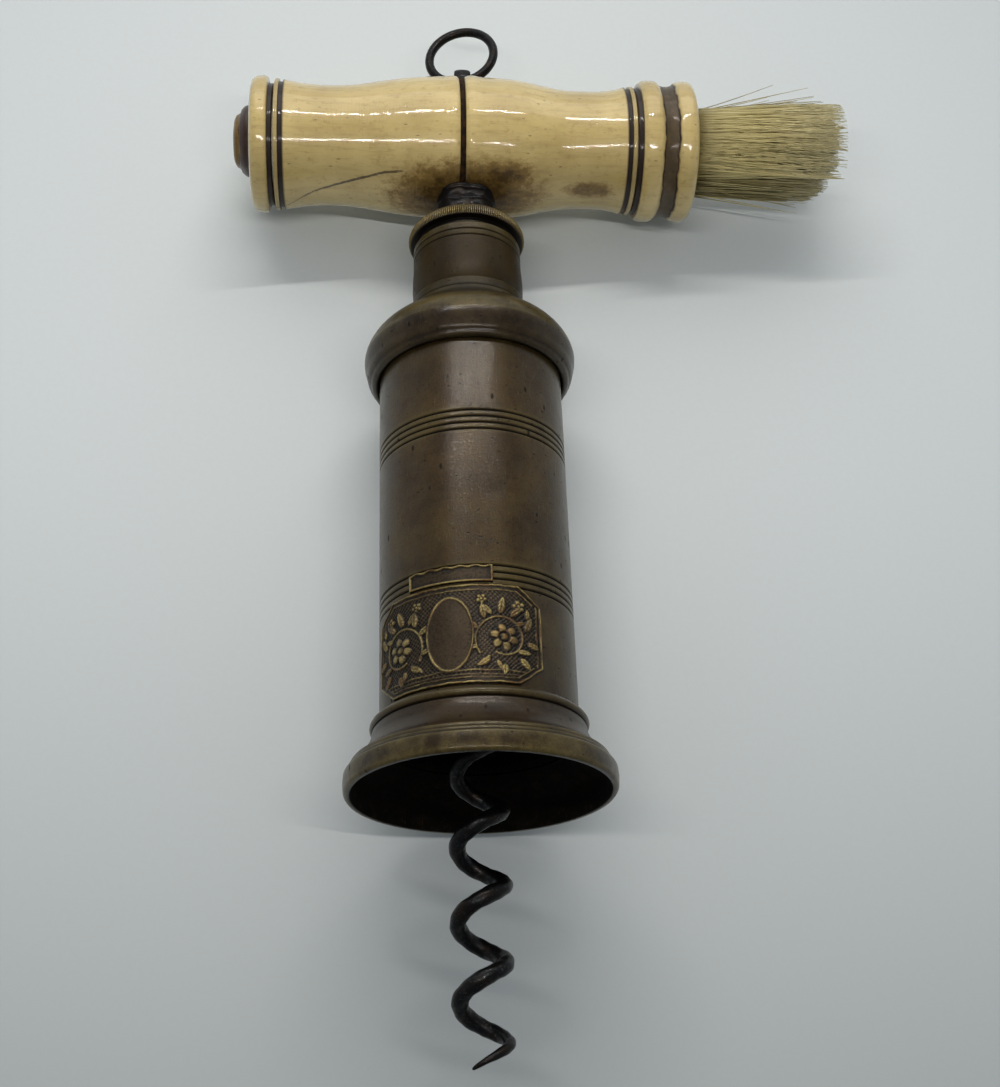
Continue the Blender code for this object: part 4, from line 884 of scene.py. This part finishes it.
def rosette(u, v, at, radius, petals, height, start=0.0):
    # a flower seen from above: petals round a domed boss with a ring of seeds
    away = np.hypot(u - at[0], v - at[1]) / radius
    around = np.arctan2(v - at[1], u - at[0]) + start
    lobe = np.abs(np.cos(around * petals / 2)) ** 0.6
    petal = np.sqrt(np.clip(1 - (away / (0.45 + 0.55 * lobe)) ** 4, 0, 1)) * (0.7 + 0.3 * lobe)
    petal = petal * (0.45 + 0.55 * np.sin(np.clip(away, 0, 1) * math.pi * 0.8))
    heart = 1.1 * np.sqrt(np.clip(1 - (away / 0.3) ** 2, 0, 1)) * (1 - 0.12 * np.cos(around * 9))
    gap = 1 - 0.8 * np.exp(-((away - 0.33) / 0.05) ** 2)
    return height * np.maximum(petal * gap, heart)


def stem(u, v, points, width, height):
    # a raised half-round line through points
    best = np.full(u.shape, 9.0)
    for a, b in zip(np.array(points[:-1], float), np.array(points[1:], float)):
        along = np.clip(((u - a[0]) * (b - a)[0] + (v - a[1]) * (b - a)[1]) / ((b - a) ** 2).sum(), 0, 1)
        best = np.minimum(best, np.hypot(u - a[0] - along * (b - a)[0], v - a[1] - along * (b - a)[1]))
    return height * np.sqrt(np.clip(1 - (best / width) ** 2, 0, 1))


def scroll(centre, radius, start, sweep, count, shrink):
    t = np.linspace(0, 1, count)
    angle = np.radians(start + sweep * t)
    reach = radius * (1 - shrink * t)
    return np.stack([centre[0] + reach * np.cos(angle), centre[1] + reach * np.sin(angle)], axis=1)


def raisedLine(away, half):
    # 1 on a line and 0 beside it, by the fourth power of the distance
    return np.exp(-(away / half) ** 4)


def plaqueHalfWidth(v):
    # the octagon's half width at a height above its middle
    half = relief["halfTurnShare"] * turn * tubeRadius
    cut = relief["cutTurnShare"] * turn * tubeRadius
    return half - cut * np.clip((np.abs(v) - (plaqueHalf - relief["cutAlong"])) / relief["cutAlong"], 0, 1)


def plaqueHeight(u, v):
    # Garden ornament: a plain upright oval between two flowering sprays, over a double ground line,
    # on a stippled ground inside a double raised border.
    slant = np.where(np.abs(v) > plaqueHalf - relief["cutAlong"], 0.62, 1.0)
    toSide = (plaqueHalfWidth(v) - np.abs(u)) * slant
    inward = np.minimum(toSide, plaqueHalf - np.abs(v))
    wobble = 0.035 * np.sin(u * 1.7 + v) + 0.025 * np.sin(u * 4.1 - v * 2.3)
    border = np.maximum(raisedLine(inward - 0.24 + wobble, 0.16),
                        0.7 * raisedLine(inward - 0.98 + wobble, 0.12))
    raised = [relief["rim"] * border * (0.78 + 0.22 * np.sin(u * 1.1 + 2) * np.sin(v * 1.3 + u * 0.4))]
    for side in (-1, 1):
        x = side * u + 0.25 * side
        raised += [stem(x, v, scroll((8.3, -0.9), 4.3, 215, -330, 26, 0.42), 0.2, 0.26),
                   stem(x, v, [(4.4, -5.3), (5.4, -4.4), (6.2, -3.9)], 0.22, 0.26),
                   rosette(x, v, (8.5, -0.7), 2.35, 6, 0.46, 0.3 * side),
                   rosette(x, v, (10.9, 4.6), 1.15, 5, 0.36, 0.7),
                   rosette(x, v, (5.2, 5.6), 0.95, 5, 0.34, 0.2)]
        raised += [leaf(x, v, at, angle + 5 * side, length, width, 0.38)
                   for at, angle, length, width in relief["leaves"]]
    ground = np.maximum(raisedLine(v + 6.1 + 0.06 * np.sin(u * 1.3), 0.16), 0.8 * raisedLine(v + 6.75, 0.13))
    raised += [np.where(inward > 1.1, ground * 0.2, 0)]
    height = np.maximum.reduce(raised)
    oval = np.hypot(u / 3.75, v / 6.3)
    rim = raisedLine(oval - 0.955, 0.035) * 0.34
    height = np.where(oval < 1.02, np.maximum(0.17, rim), height)
    field = (height < 0.03) & (inward > 1.2)
    stipple = 0.09 * np.sin(u * 8.6 + 0.9 * np.sin(v * 1.9)) * np.sin(v * 8.6 + 0.9 * np.sin(u * 1.7))
    # castings wear unevenly
    worn = 0.84 + 0.16 * np.sin(u * 0.9 + 0.5) * np.sin(v * 0.7 + 1)
    return height * worn + np.where(field, stipple, 0)


def blurred(values, reach):
    # running mean with bell-shaped weights, along both directions of a grid
    half = int(3 * reach)
    weights = bellWeights(half, 1 / reach)
    for axis in (0, 1):
        padded = np.pad(values, [(half, half) if k == axis else (0, 0) for k in (0, 1)], mode='edge')
        values = np.apply_along_axis(lambda line: np.convolve(line, weights, 'valid'), axis, padded)
    return values


def addSheet(name, u, v, sheet, front):
    # a thin brass plate bent round the barrel: the front lattice stands off the back lattice by the
    # front's height, and a rim joins their edges
    rows, columns = u.shape
    angle = relief["turnShare"] * turn + u / tubeRadius
    place = (sheet["top"] + sheet["bottom"]) / 2 + v
    height = sheet["base"] + front
    points = np.concatenate([np.stack([radius * np.sin(angle), place, radius * np.cos(angle)], axis=-1)
                             for radius in (tubeRadius + height, np.full(u.shape, tubeRadius + 0.02))])
    faces = latticeFaces(rows, columns, wrapColumns=False)
    edge = np.concatenate([np.arange(columns), np.arange(1, rows) * columns + columns - 1,
                           (rows - 1) * columns + np.arange(columns - 2, -1, -1),
                           np.arange(rows - 2, 0, -1) * columns])
    following = np.roll(edge, -1)
    count = rows * columns
    rim = np.stack([following, edge, edge + count, following + count], axis=1)
    standing = (height - blurred(height, 5.0)).ravel()
    data = {"standing": np.concatenate([standing, np.full(count, -0.1)]), "reddish": np.ones(2 * count)}
    return addMesh(name, points, [faces, faces[:, ::-1] + count, rim], brass, data)


def makePlaque():
    v = np.linspace(-plaqueHalf, plaqueHalf, int(2 * plaqueHalf / relief["step"]) + 1)[:, None]
    share = np.linspace(-1, 1, int(2 * plaqueHalfWidth(0) / relief["step"]) + 1)[None, :]
    u = plaqueHalfWidth(v) * share
    v = np.broadcast_to(v, u.shape)
    keepPiece(addSheet("reliefPlaque", u, v, relief, plaqueHeight(u, v)), "barrel", "brass", "relief_plaque")


banner = {"top": 32.0, "bottom": 29.1, "halfTurnShare": 0.069, "base": 0.3, "rim": 0.26, "step": 0.11}


def makeBanner():
    # bare strip with a thin raised outline, whose upper edge wavers
    halfWidth = banner["halfTurnShare"] * turn * tubeRadius
    halfHeight = (banner["top"] - banner["bottom"]) / 2
    v, u = np.meshgrid(np.arange(-halfHeight, halfHeight + 0.01, banner["step"]),
                       np.arange(-halfWidth, halfWidth + 0.01, banner["step"]), indexing='ij')
    waver = 0.12 * np.sin(u * 2.6) * (v > 0)
    inward = np.minimum(halfWidth - np.abs(u), halfHeight - np.abs(v) - waver)
    front = banner["rim"] * raisedLine(inward - 0.22, 0.18)
    keepPiece(addSheet("bannerStrip", u, v, banner, front), "barrel", "brass", "banner_strip")


makePlaque()
makeBanner()
print("plaque made")


# Outer screw and its milled head

screw = {"columns": 132, "bore": 5.6, "journal": 6.4, "crest": 7.9, "root": 6.6, "threadFrom": 30.9,
         "threadTo": 103.5}


def threadedRows(rod, hand, foot, head):
    # plain rows below, threaded rows between and plain rows above, and how far each point stands out
    places = np.arange(rod["threadFrom"], rod["threadTo"], thread["step"])
    threaded, standing = threadPoints(places, rod, hand, 0.5)
    low, high = (turnedPoints(rows, rod["columns"]) for rows in (foot, head))
    flats = [np.zeros(part.shape[:2]) for part in (low, high)]
    return np.concatenate([low, threaded, high]), np.concatenate([flats[0], standing, flats[1]])


def makeOuterScrew():
    low, high = (corner[1] for corner in cadSpan("outer_screw"))
    journal, bore = screw["journal"], screw["bore"]
    foot = [(low, bore), (low, journal), (screw["threadFrom"] - 0.05, journal)]
    head = [(screw["threadTo"] + 0.05, journal), (high, journal), (high, bore)]
    rows, standing = threadedRows(screw, -1, foot, head)
    piece = addMesh("outerScrew", *closedSkin(rows), brass, {"standing": standing.ravel()})
    keepPiece(piece, "outer_screw", "brass", "outer_screw")


milled = {"teeth": 176, "perTooth": 4, "toothDepth": 0.26, "bore": 6.7, "hub": 9.0}


def makeMilledHead():
    low, high = cadSpan("milled_head")
    radius, base, top = (high[0] - low[0]) / 2, low[1], high[1]
    outline = drawProfile([
        (base, milled["bore"], 1), (base, milled["hub"], 1), (base + 0.8, milled["hub"], 1),
        (base + 0.85, radius - 0.2, 1), (base + 1.0, radius), (top - 1.0, radius),
        (top - 0.8, radius - 0.15, 1),
        (top - 0.72, radius - 0.5, 1), (top - 0.3, radius - 0.62), (top, radius - 1.0, 1),
        (top, milled["bore"], 1)], 0.3, 0.06)
    columns = milled["teeth"] * milled["perTooth"]
    onRim = (outline[:, 1] > radius - 0.1) & (outline[:, 0] > base + 0.9) & (outline[:, 0] < top - 0.9)

    def teeth(place, angle, around):
        cut = 0.5 - 0.5 * np.cos(milled["teeth"] * angle)
        return -milled["toothDepth"] * cut * smoothRange(around, radius - 0.25, radius - 0.02)
    piece = addTurned("milledHead", outline, outline[:1], columns, brass, swell=teeth)
    angle = turn * np.arange(columns) / columns
    # painted shade: the underside, hub and bore are set low so that the brass look paints them near black,
    # standing in for the shade in the gap above the neck; the milled crests are rubbed bright and the crown
    # is plain
    standing = np.full((len(outline) + 1, columns), -0.12)
    standing[:-1][onRim] = -0.1 + 0.28 * (0.5 + 0.5 * np.cos(milled["teeth"] * angle))
    standing[:-1][outline[:, 0] >= top - 0.95] = 0.03
    writeData(piece.data, {"standing": standing.ravel()})
    keepPiece(piece, "outer_screw", "brass", "milled_head")


makeOuterScrew()
makeMilledHead()
print("outer screw made")


# Shank, worm, boss, eye and ring

shank = {"columns": 96, "journal": 3.2, "socket": 1.8, "socketTo": 40.3, "crest": 4.2, "root": 3.3,
         "tang": 3.3, "foot": 34.75, "threadFrom": 38.05, "threadTo": 107.0, "stemHole": 1.4,
         "stemHoleFrom": 136.75}


def makeShank():
    top = cadSpan("threaded_shank")[1][1]
    foot = [(shank["socketTo"], shank["socket"]), (shank["foot"], shank["socket"]),
            (shank["foot"], shank["journal"]), (shank["threadFrom"] - 0.05, shank["journal"])]
    tang = [(shank["threadTo"] + 0.05, shank["tang"]), (top, shank["tang"]), (top, shank["stemHole"]),
            (shank["stemHoleFrom"], shank["stemHole"])]
    rows = threadedRows(shank, 1, foot, tang)[0]
    ends = [[0, shank["socketTo"], 0], [0, shank["stemHoleFrom"], 0]]
    piece = addMesh("threadedShank", *closedSkin(rows, ends), steel)
    keepPiece(piece, "shank", "steel", "threaded_shank")


worm = {"coil": 3.55, "wire": 1.28, "pitch": 11.66, "reach": 41.4, "tipTurn": -0.09, "blendTurns": 0.6,
        "taper": 16.0, "taperPower": 0.6667, "point": 0.22, "stem": 1.5, "stemRows": 12, "perTurn": 60,
        "sides": 28, "lean": -0.45}


def makeWorm():
    # A right-hand helix whose radius grows from the axis, drawn to a point along its last stretch.
    # The wire is forged, so its section and its coil waver, and the whole coil leans a little.
    top = cadSpan("worm")[1][1]
    helixTop = shank["foot"] - 1.25
    drop = helixTop + worm["reach"]
    place = np.linspace(helixTop, -worm["reach"], int(drop / worm["pitch"] * worm["perTurn"]))
    angle = turn * (worm["tipTurn"] + (place + worm["reach"]) / worm["pitch"])
    blend = np.clip((helixTop - place) / worm["pitch"] / worm["blendTurns"], 0, 1)
    coil = worm["coil"] * blend * blend * (3 - 2 * blend) + 0.07 * np.sin(angle * 0.53 + 1) * blend
    lean = worm["lean"] * smoothRange(-place, -20, 12)
    path = np.stack([coil * np.sin(angle) + lean, place, coil * np.cos(angle)], axis=1)
    stem = worm["stemRows"]
    path = np.vstack([np.linspace([0, top, 0], [0, helixTop + 0.4, 0], stem), path])
    left = np.concatenate([np.cumsum(np.linalg.norm(np.diff(path[::-1], axis=0), axis=1))[::-1], [0]])
    draw = np.clip(left / worm["taper"], 0, 1) ** worm["taperPower"]
    radius = worm["point"] + (worm["wire"] - worm["point"]) * draw
    radius[:stem] = worm["stem"]
    radius[stem:2 * stem] = np.linspace(worm["stem"], worm["wire"], stem)
    tangent = np.gradient(path, axis=0)
    tangent /= np.linalg.norm(tangent, axis=1)[:, None]
    outward = np.cross(tangent, [0.0, 1.0, 0.0])
    outward[:stem] = outward[stem + 1]
    outward /= np.linalg.norm(outward, axis=1)[:, None] + 1e-9
    across = np.cross(tangent, outward)
    around = turn * np.arange(worm["sides"]) / worm["sides"]
    hammered = 1 + 0.035 * np.sin(left[:, None] * 0.9 + 2 * around)
    hammered = hammered + 0.025 * np.sin(left[:, None] * 2.3 + 3 * around + 1)
    section = (outward[:, None, :] * np.cos(around)[None, :, None]
               + across[:, None, :] * np.sin(around)[None, :, None])
    rows = path[:, None, :] + (radius[:, None] * hammered)[..., None] * section
    piece = addMesh("worm", *closedSkin(rows, [path[0], path[-1] + tangent[-1] * 0.25]), steel)
    keepPiece(piece, "shank", "steel", "worm")


boss = {"columns": 128, "rows": 34, "bore": 3.6, "belly": 13.43, "radius": 5.4, "waist": 4.95, "ridges": 3,
        "ridgesLength": 7.1, "clip": 5.9}


def makeBoss():
    # Ridged barrel shape, hammered uneven. Its upper end follows the belly of the handle: there
    # the place is the handle's axis less the square root of belly squared less z squared.
    foot = cadSpan("boss")[0][1]
    angle = turn * np.arange(boss["columns"]) / boss["columns"]
    t = np.linspace(0, 1, boss["rows"])[:, None]
    top, innerTop = (handleAt - np.sqrt(boss["belly"] ** 2 - (boss[key] * np.cos(angle)) ** 2)
                     for key in ("radius", "bore"))
    place = foot + t * (top - foot)
    ridge = (place - foot) / boss["ridgesLength"] * boss["ridges"]
    radius = boss["waist"] + (boss["radius"] - boss["waist"]) * np.abs(np.sin(math.pi * ridge)) ** 0.5
    # hammered a little square: radius over the fourth root of cos and sin to the fourth power
    radius = radius * (np.cos(angle) ** 4 + np.sin(angle) ** 4) ** -0.25 * 0.97
    radius = radius + 0.13 * np.sin(5 * angle + place * 0.9) + 0.06 * np.sin(11 * angle - place * 2.1)
    radius = np.clip(radius, boss["bore"] + 0.3, boss["clip"])
    innerPlace = innerTop + t[::3] * (foot - innerTop)
    place = np.vstack([place, innerPlace])
    radius = np.vstack([radius, np.full(innerPlace.shape, boss["bore"])])
    rows = np.stack([radius * np.sin(angle), place, radius * np.cos(angle)], axis=-1)
    piece = addMesh("boss", *closedSkin(rows), steel, {"handled": np.full(place.size, -0.08)})
    keepPiece(piece, "shank", "steel", "boss")


def torusRows(centre, axisOne, axisTwo, radius, section, columns, sides):
    # a ring in the plane of two axes, with a section of given half thickness and half width
    normal = np.cross(axisOne, axisTwo)
    around = (turn * np.arange(columns) / columns)[:, None, None]
    across = (turn * np.arange(sides) / sides)[None, :, None]
    radial = np.cos(around) * axisOne + np.sin(around) * axisTwo
    return centre + radial * (radius + section[0] * np.cos(across)) + normal * section[1] * np.sin(across)


eye = {"ball": 2.3, "hole": 1.42, "width": 1.55, "columns": 72, "sides": 32, "neck": 1.5, "stem": 1.1,
       "stemColumns": 40}


def makeEye():
    # a ball drilled along the handle, with the hole's edges rounded by wear, on a short neck
    up, side = np.array([0, 1.0, 0]), np.array([0, 0, 1.0])
    wall = (eye["ball"] - eye["hole"]) / 2
    loop, loopFaces = closedSkin(torusRows(ringPin, up, side, (eye["ball"] + eye["hole"]) / 2,
                                           (wall, eye["width"]), eye["columns"], eye["sides"]))
    low, at = cadSpan("ring_eye")[0][1], ringPin[1]
    stalk = drawProfile([(low, 0, 1), (low, eye["stem"], 1), (at - 3.1, eye["stem"], 1),
                         (at - 3.05, eye["neck"], 1), (at - 2.2, 1.35), (at - 1.75, 1.3, 1), (at - 1.7, 0)],
                        0.2, 0.05)[1:-1]
    stalk, stalkFaces = closedSkin(turnedPoints(stalk, eye["stemColumns"]), [[0, low, 0], [0, at - 1.7, 0]])
    faces = faceOutward(loop, loopFaces) + [part + len(loop) for part in faceOutward(stalk, stalkFaces)]
    piece = addMesh("ringEye", np.vstack([loop, stalk]), faces, steel)
    keepPiece(piece, "shank", "steel", "ring_eye")


washer = {"columns": 64, "hole": 1.45}


def makeWasher():
    low, high = (corner[1] for corner in cadSpan("eye_washer"))
    outline = drawProfile([(low, washer["hole"], 1), (low, 2.9), (low + 0.2, 3.0), (high - 0.15, 2.9),
                           (high, 2.6, 1), (high, washer["hole"], 1)], 0.15, 0.05)
    piece = addTurned("eyeWasher", outline, outline[:1], washer["columns"], steel)
    keepPiece(piece, "shank", "steel", "eye_washer")


ring = {"radius": 6.42, "wire": 0.87, "lift": -1.0, "roll": -14.0, "columns": 140, "sides": 28}


def makeRing():
    # a bent wire ring standing in the eye, rolled a little about the line from the eye outwards
    lift, roll = math.radians(ring["lift"]), math.radians(ring["roll"])
    out = np.array([0, math.cos(lift), math.sin(lift)])
    level = np.array([1.0, 0, 0])
    side = level * math.cos(roll) + np.cross(out, level) * math.sin(roll)
    rows = torusRows(ringPin + out * ring["radius"], side, out, ring["radius"], (ring["wire"],) * 2,
                     ring["columns"], ring["sides"])
    keepPiece(addMesh("suspensionRing", *closedSkin(rows), steel), "ring", "steel", "suspension_ring")


makeShank()
makeWorm()
makeBoss()
makeEye()
makeWasher()
makeRing()
print("shank made")


# Brush

brush = {"count": 2600, "clumps": 44, "root": 8.1, "tip": 9.3, "length": 30.6, "edgeDrop": 3.2,
         "scatter": 4.8, "thick": 0.12, "thin": 0.05, "strays": 26, "crossing": 460, "seed": 11,
         "rows": 6, "sides": 3, "backing": (0.75, 8.28), "backingColumns": 48}


def onDisc(angle, radius):
    return np.stack([np.cos(angle), np.sin(angle)], axis=1) * radius[:, None]


def makeBrush():
    # Tapered bristles, each a curve that leaves its root along the handle, fans out with its clump
    # and bends a little: at a share t of its reach it lies off its root, across the handle, by its
    # tip's offset times t to the 1.15, plus its bend times t (t - 1).
    rng = np.random.default_rng(brush["seed"])
    low, high = (corner[0] for corner in cadSpan("brush_bristles"))
    count, clumps, strays = brush["count"], brush["clumps"], brush["strays"]
    spread = brush["tip"] / brush["root"]
    share = np.sqrt(rng.random(count))
    rootSpot = onDisc(turn * rng.random(count), share * brush["root"])
    clumpShare = np.sqrt(rng.random(clumps)) * brush["root"]
    clumpSpot = onDisc(turn * rng.random(clumps), clumpShare)
    own = ((rootSpot[:, None, :] - clumpSpot[None, :, :]) ** 2).sum(axis=2).argmin(axis=1)
    clumpTip = clumpSpot * spread + rng.normal(0, 0.38, (clumps, 2))
    tipSpot = rootSpot * spread * 0.7 + clumpTip[own] * 0.3
    tipSpot += rng.normal(0, 0.45, (count, 2)) * (1 + 2.0 * (rng.random(count) > 0.88))[:, None]
    edge = np.hypot(*tipSpot.T) / brush["tip"]
    reach = brush["length"] - brush["edgeDrop"] * edge ** 2 - brush["scatter"] * rng.random(count) ** 2
    reach += rng.normal(0, 0.6, clumps)[own]
    reach -= 2.6 * smoothRange(-tipSpot[:, 0], 1, 9)
    # the first strands stray out of the ring's side, and the next cross over the top of the others
    order = np.arange(count)
    stray = order < strays
    strayAngle = rng.normal(-0.1, 0.3, strays)
    rootSpot[stray] = 7.6 * np.stack([np.cos(strayAngle), np.sin(-strayAngle)], axis=1)
    strayTip = rng.uniform(10.4, 15.2, strays)[:, None]
    tipSpot[stray] = strayTip * np.stack([np.cos(strayAngle), 0.8 * np.sin(-strayAngle)], axis=1)
    crossing = (order >= strays) & (order < strays + brush["crossing"])
    crossRoot = rng.uniform(-7.8, 7.6, brush["crossing"])
    crossTip = np.clip(crossRoot + rng.normal(-1.8, 3.0, brush["crossing"]), -8.8, 8.8)
    rootSpot[crossing] = np.stack([crossRoot, np.sqrt(64 - crossRoot ** 2)], axis=1)
    tipSpot[crossing] = np.stack([crossTip, np.sqrt(92 - crossTip ** 2)], axis=1)
    reach = np.minimum(reach, high - low - 0.3)
    reach[stray] = rng.uniform(17, 27, strays)
    bend = rng.normal(0, 0.5, (count, 2))
    t = np.linspace(0, 1, brush["rows"])[None, :, None]
    spot = (rootSpot[:, None, :] + (tipSpot - rootSpot)[:, None, :] * t ** 1.15
            + bend[:, None, :] * t * (t - 1))
    along = low + reach[:, None] * t[..., 0]
    thick = (brush["thick"] * (0.75 + 0.5 * rng.random(count)))[:, None] * (1 - t[..., 0] ** 2)
    thick = (thick + brush["thin"] * t[..., 0] ** 2) * (1 + 0.3 * crossing)[:, None]
    # partly tone that differs from strand to strand, partly painted light and shade: the strands crossing
    # over the top are painted lighter, the others darker as if shaded by them
    toneAndPaintedShade = np.where(crossing, 0.62 + 0.33 * rng.random(count), 0.85 * rng.random(count))
    around = turn * np.arange(brush["sides"]) / brush["sides"]
    ringY = spot[..., 0][..., None] + thick[..., None] * np.cos(around)
    ringZ = spot[..., 1][..., None] + thick[..., None] * np.sin(around)
    ringX = np.broadcast_to(along[..., None], ringY.shape)
    points = np.stack([ringX, handleAt + ringY, ringZ], axis=-1).reshape(-1, 3)
    perStrand = brush["rows"] * brush["sides"]
    ends = np.array([[2, 1, 0], [perStrand - 3, perStrand - 2, perStrand - 1]])
    start = (order * perStrand)[:, None, None]
    strands = faceOutward(points, [(latticeFaces(brush["rows"], brush["sides"]) + start).reshape(-1, 4),
                                   (ends + start).reshape(-1, 3)])
    deep, wide = brush["backing"]
    disc = turnedPoints([(low, 0.02), (low, wide), (low + deep, wide), (low + deep, 0.02)],
                        brush["backingColumns"], 'handle')
    backing, backingFaces = closedSkin(disc)
    faces = strands + [part + len(points) for part in faceOutward(backing, backingFaces)]
    data = {key: np.append(np.broadcast_to(values, ringY.shape), np.zeros(len(backing)))
            for key, values in (("reach", t), ("strand", toneAndPaintedShade[:, None, None]))}
    piece = addMesh("bristles", np.vstack([points, backing]), faces, bristle, data)
    keepPiece(piece, "shank", "bristle", "brush_bristles")


makeBrush()
print("brush made")


# Camera, floor and lights

camera = {"place": (-15.5534, -77.2706, 242.4122), "right": (0.99733, -0.03119, 0.06603),
          "up": (-0.00158, 0.89479, 0.44648), "lens": 53.64}


def makeCamera():
    data = bpy.data.cameras.new("camera")
    data.lens = camera["lens"]
    data.clip_start = 0.01
    right, up = np.array(camera["right"]), np.array(camera["up"])
    turned = ownAxes.T @ np.stack([right, up, np.cross(right, up)], axis=1)
    rows = [[*row, place] for row, place in zip(turned, toWorld(camera["place"]))]
    holder = bpy.data.objects.new("camera", data)
    holder.matrix_world = Matrix(rows + [[0, 0, 0, 1]])
    bpy.context.scene.collection.objects.link(holder)
    bpy.context.scene.camera = holder


# near is the card's painted shade towards the viewer, far its colour away from the viewer
floor = {"size": 3.0, "near": "#a3a9ab", "far": "#d2d9dc", "nearAt": -0.19, "farAt": 0.04,
         "fleck": "#8a8d90"}


def cardLook(add):
    # matt white card with painted shade: its own colour darkens from the far colour to the near colour
    # towards the viewer, standing in for the light falling off there
    spot = add("TexCoord", out="Object")
    along = add("SeparateXYZ", [spot], out="Y")
    share = add("MapRange", [along, floor["nearAt"], floor["farAt"], 0.0, 1.0],
                interpolation_type='SMOOTHSTEP')
    paper = add("TexNoise", [spot, 900.0, 2.0])
    color = chain(add, "Mix RGBA", floor["near"], 1, [
        (share, floor["far"]), ((paper, 0.2, 0.8, 0.0, 0.04), floor["fleck"])])
    return {"Roughness": 0.75, "Specular IOR Level": 0.2, "Base Color": color}


def makeFloor():
    mesh = bpy.data.meshes.new("floor")
    half = floor["size"] / 2
    corners = [(-half, -half, 0), (half, -half, 0), (half, half, 0), (-half, half, 0)]
    mesh.from_pydata(corners, [], [(0, 1, 2, 3)])
    mesh.materials.append(makeMaterial("matt white card", cardLook))
    plane = bpy.data.objects.new("floor", mesh)
    bpy.context.scene.collection.objects.link(plane)


# places in own millimetres, sizes in metres along the handle and across it
lamps = {"far tube": {"place": (-15, 224, 250), "size": (0.23, 0.0018), "radiance": 232},
         "near tube": {"place": (-15, -16, 250), "size": (0.23, 0.0018), "radiance": 184},
         "reflector between the tubes": {"place": (-15, 110, 256), "size": (0.23, 0.25), "radiance": 0.06},
         "window": {"place": (0, 1150, 1000), "size": (1.7, 0.9), "radiance": 1.35}}


def addLamps():
    # Each lamp faces the handle. Its power is its radiance times pi times its area.
    target = Vector(toWorld((0, 100, 0)))
    for name, lamp in lamps.items():
        data = bpy.data.lights.new(name, 'AREA')
        data.shape = 'RECTANGLE'
        data.size, data.size_y = lamp["size"]
        data.energy = lamp["radiance"] * math.pi * lamp["size"][0] * lamp["size"][1]
        data.color = linear("#fffaf2")[:3]
        holder = bpy.data.objects.new(name, data)
        holder.location = Vector(toWorld(lamp["place"]))
        holder.rotation_euler = (holder.location - target).to_track_quat('Z', 'Y').to_euler()
        bpy.context.scene.collection.objects.link(holder)


room = {"horizon": "#c3c9cc", "above": "#85888b", "ringSide": 1.32, "wormSide": 0.55, "strength": 1.06}


def makeWorld():
    # a pale room, brighter on the ring's side and dimmer overhead
    world = bpy.data.worlds.new("room")
    world.use_nodes = True
    tree = world.node_tree
    parts = addNode(tree, "SeparateXYZ", [addNode(tree, "TexCoord")]).node.outputs
    color = addNode(tree, "Mix RGBA", [(parts["Z"], 0.0, 0.8, 0.0, 1.0), room["horizon"], room["above"]])
    side = (parts["Y"], -0.8, 0.8, room["wormSide"], room["ringSide"])
    background = tree.nodes["Background"]
    tree.links.new(color, background.inputs["Color"])
    tree.links.new(addNode(tree, "Math MULTIPLY", [side, room["strength"]]), background.inputs["Strength"])
    bpy.context.scene.world = world


makeCamera()
makeFloor()
addLamps()
makeWorld()
bpy.context.scene.view_settings.view_transform = 'Standard'
print("stage made")
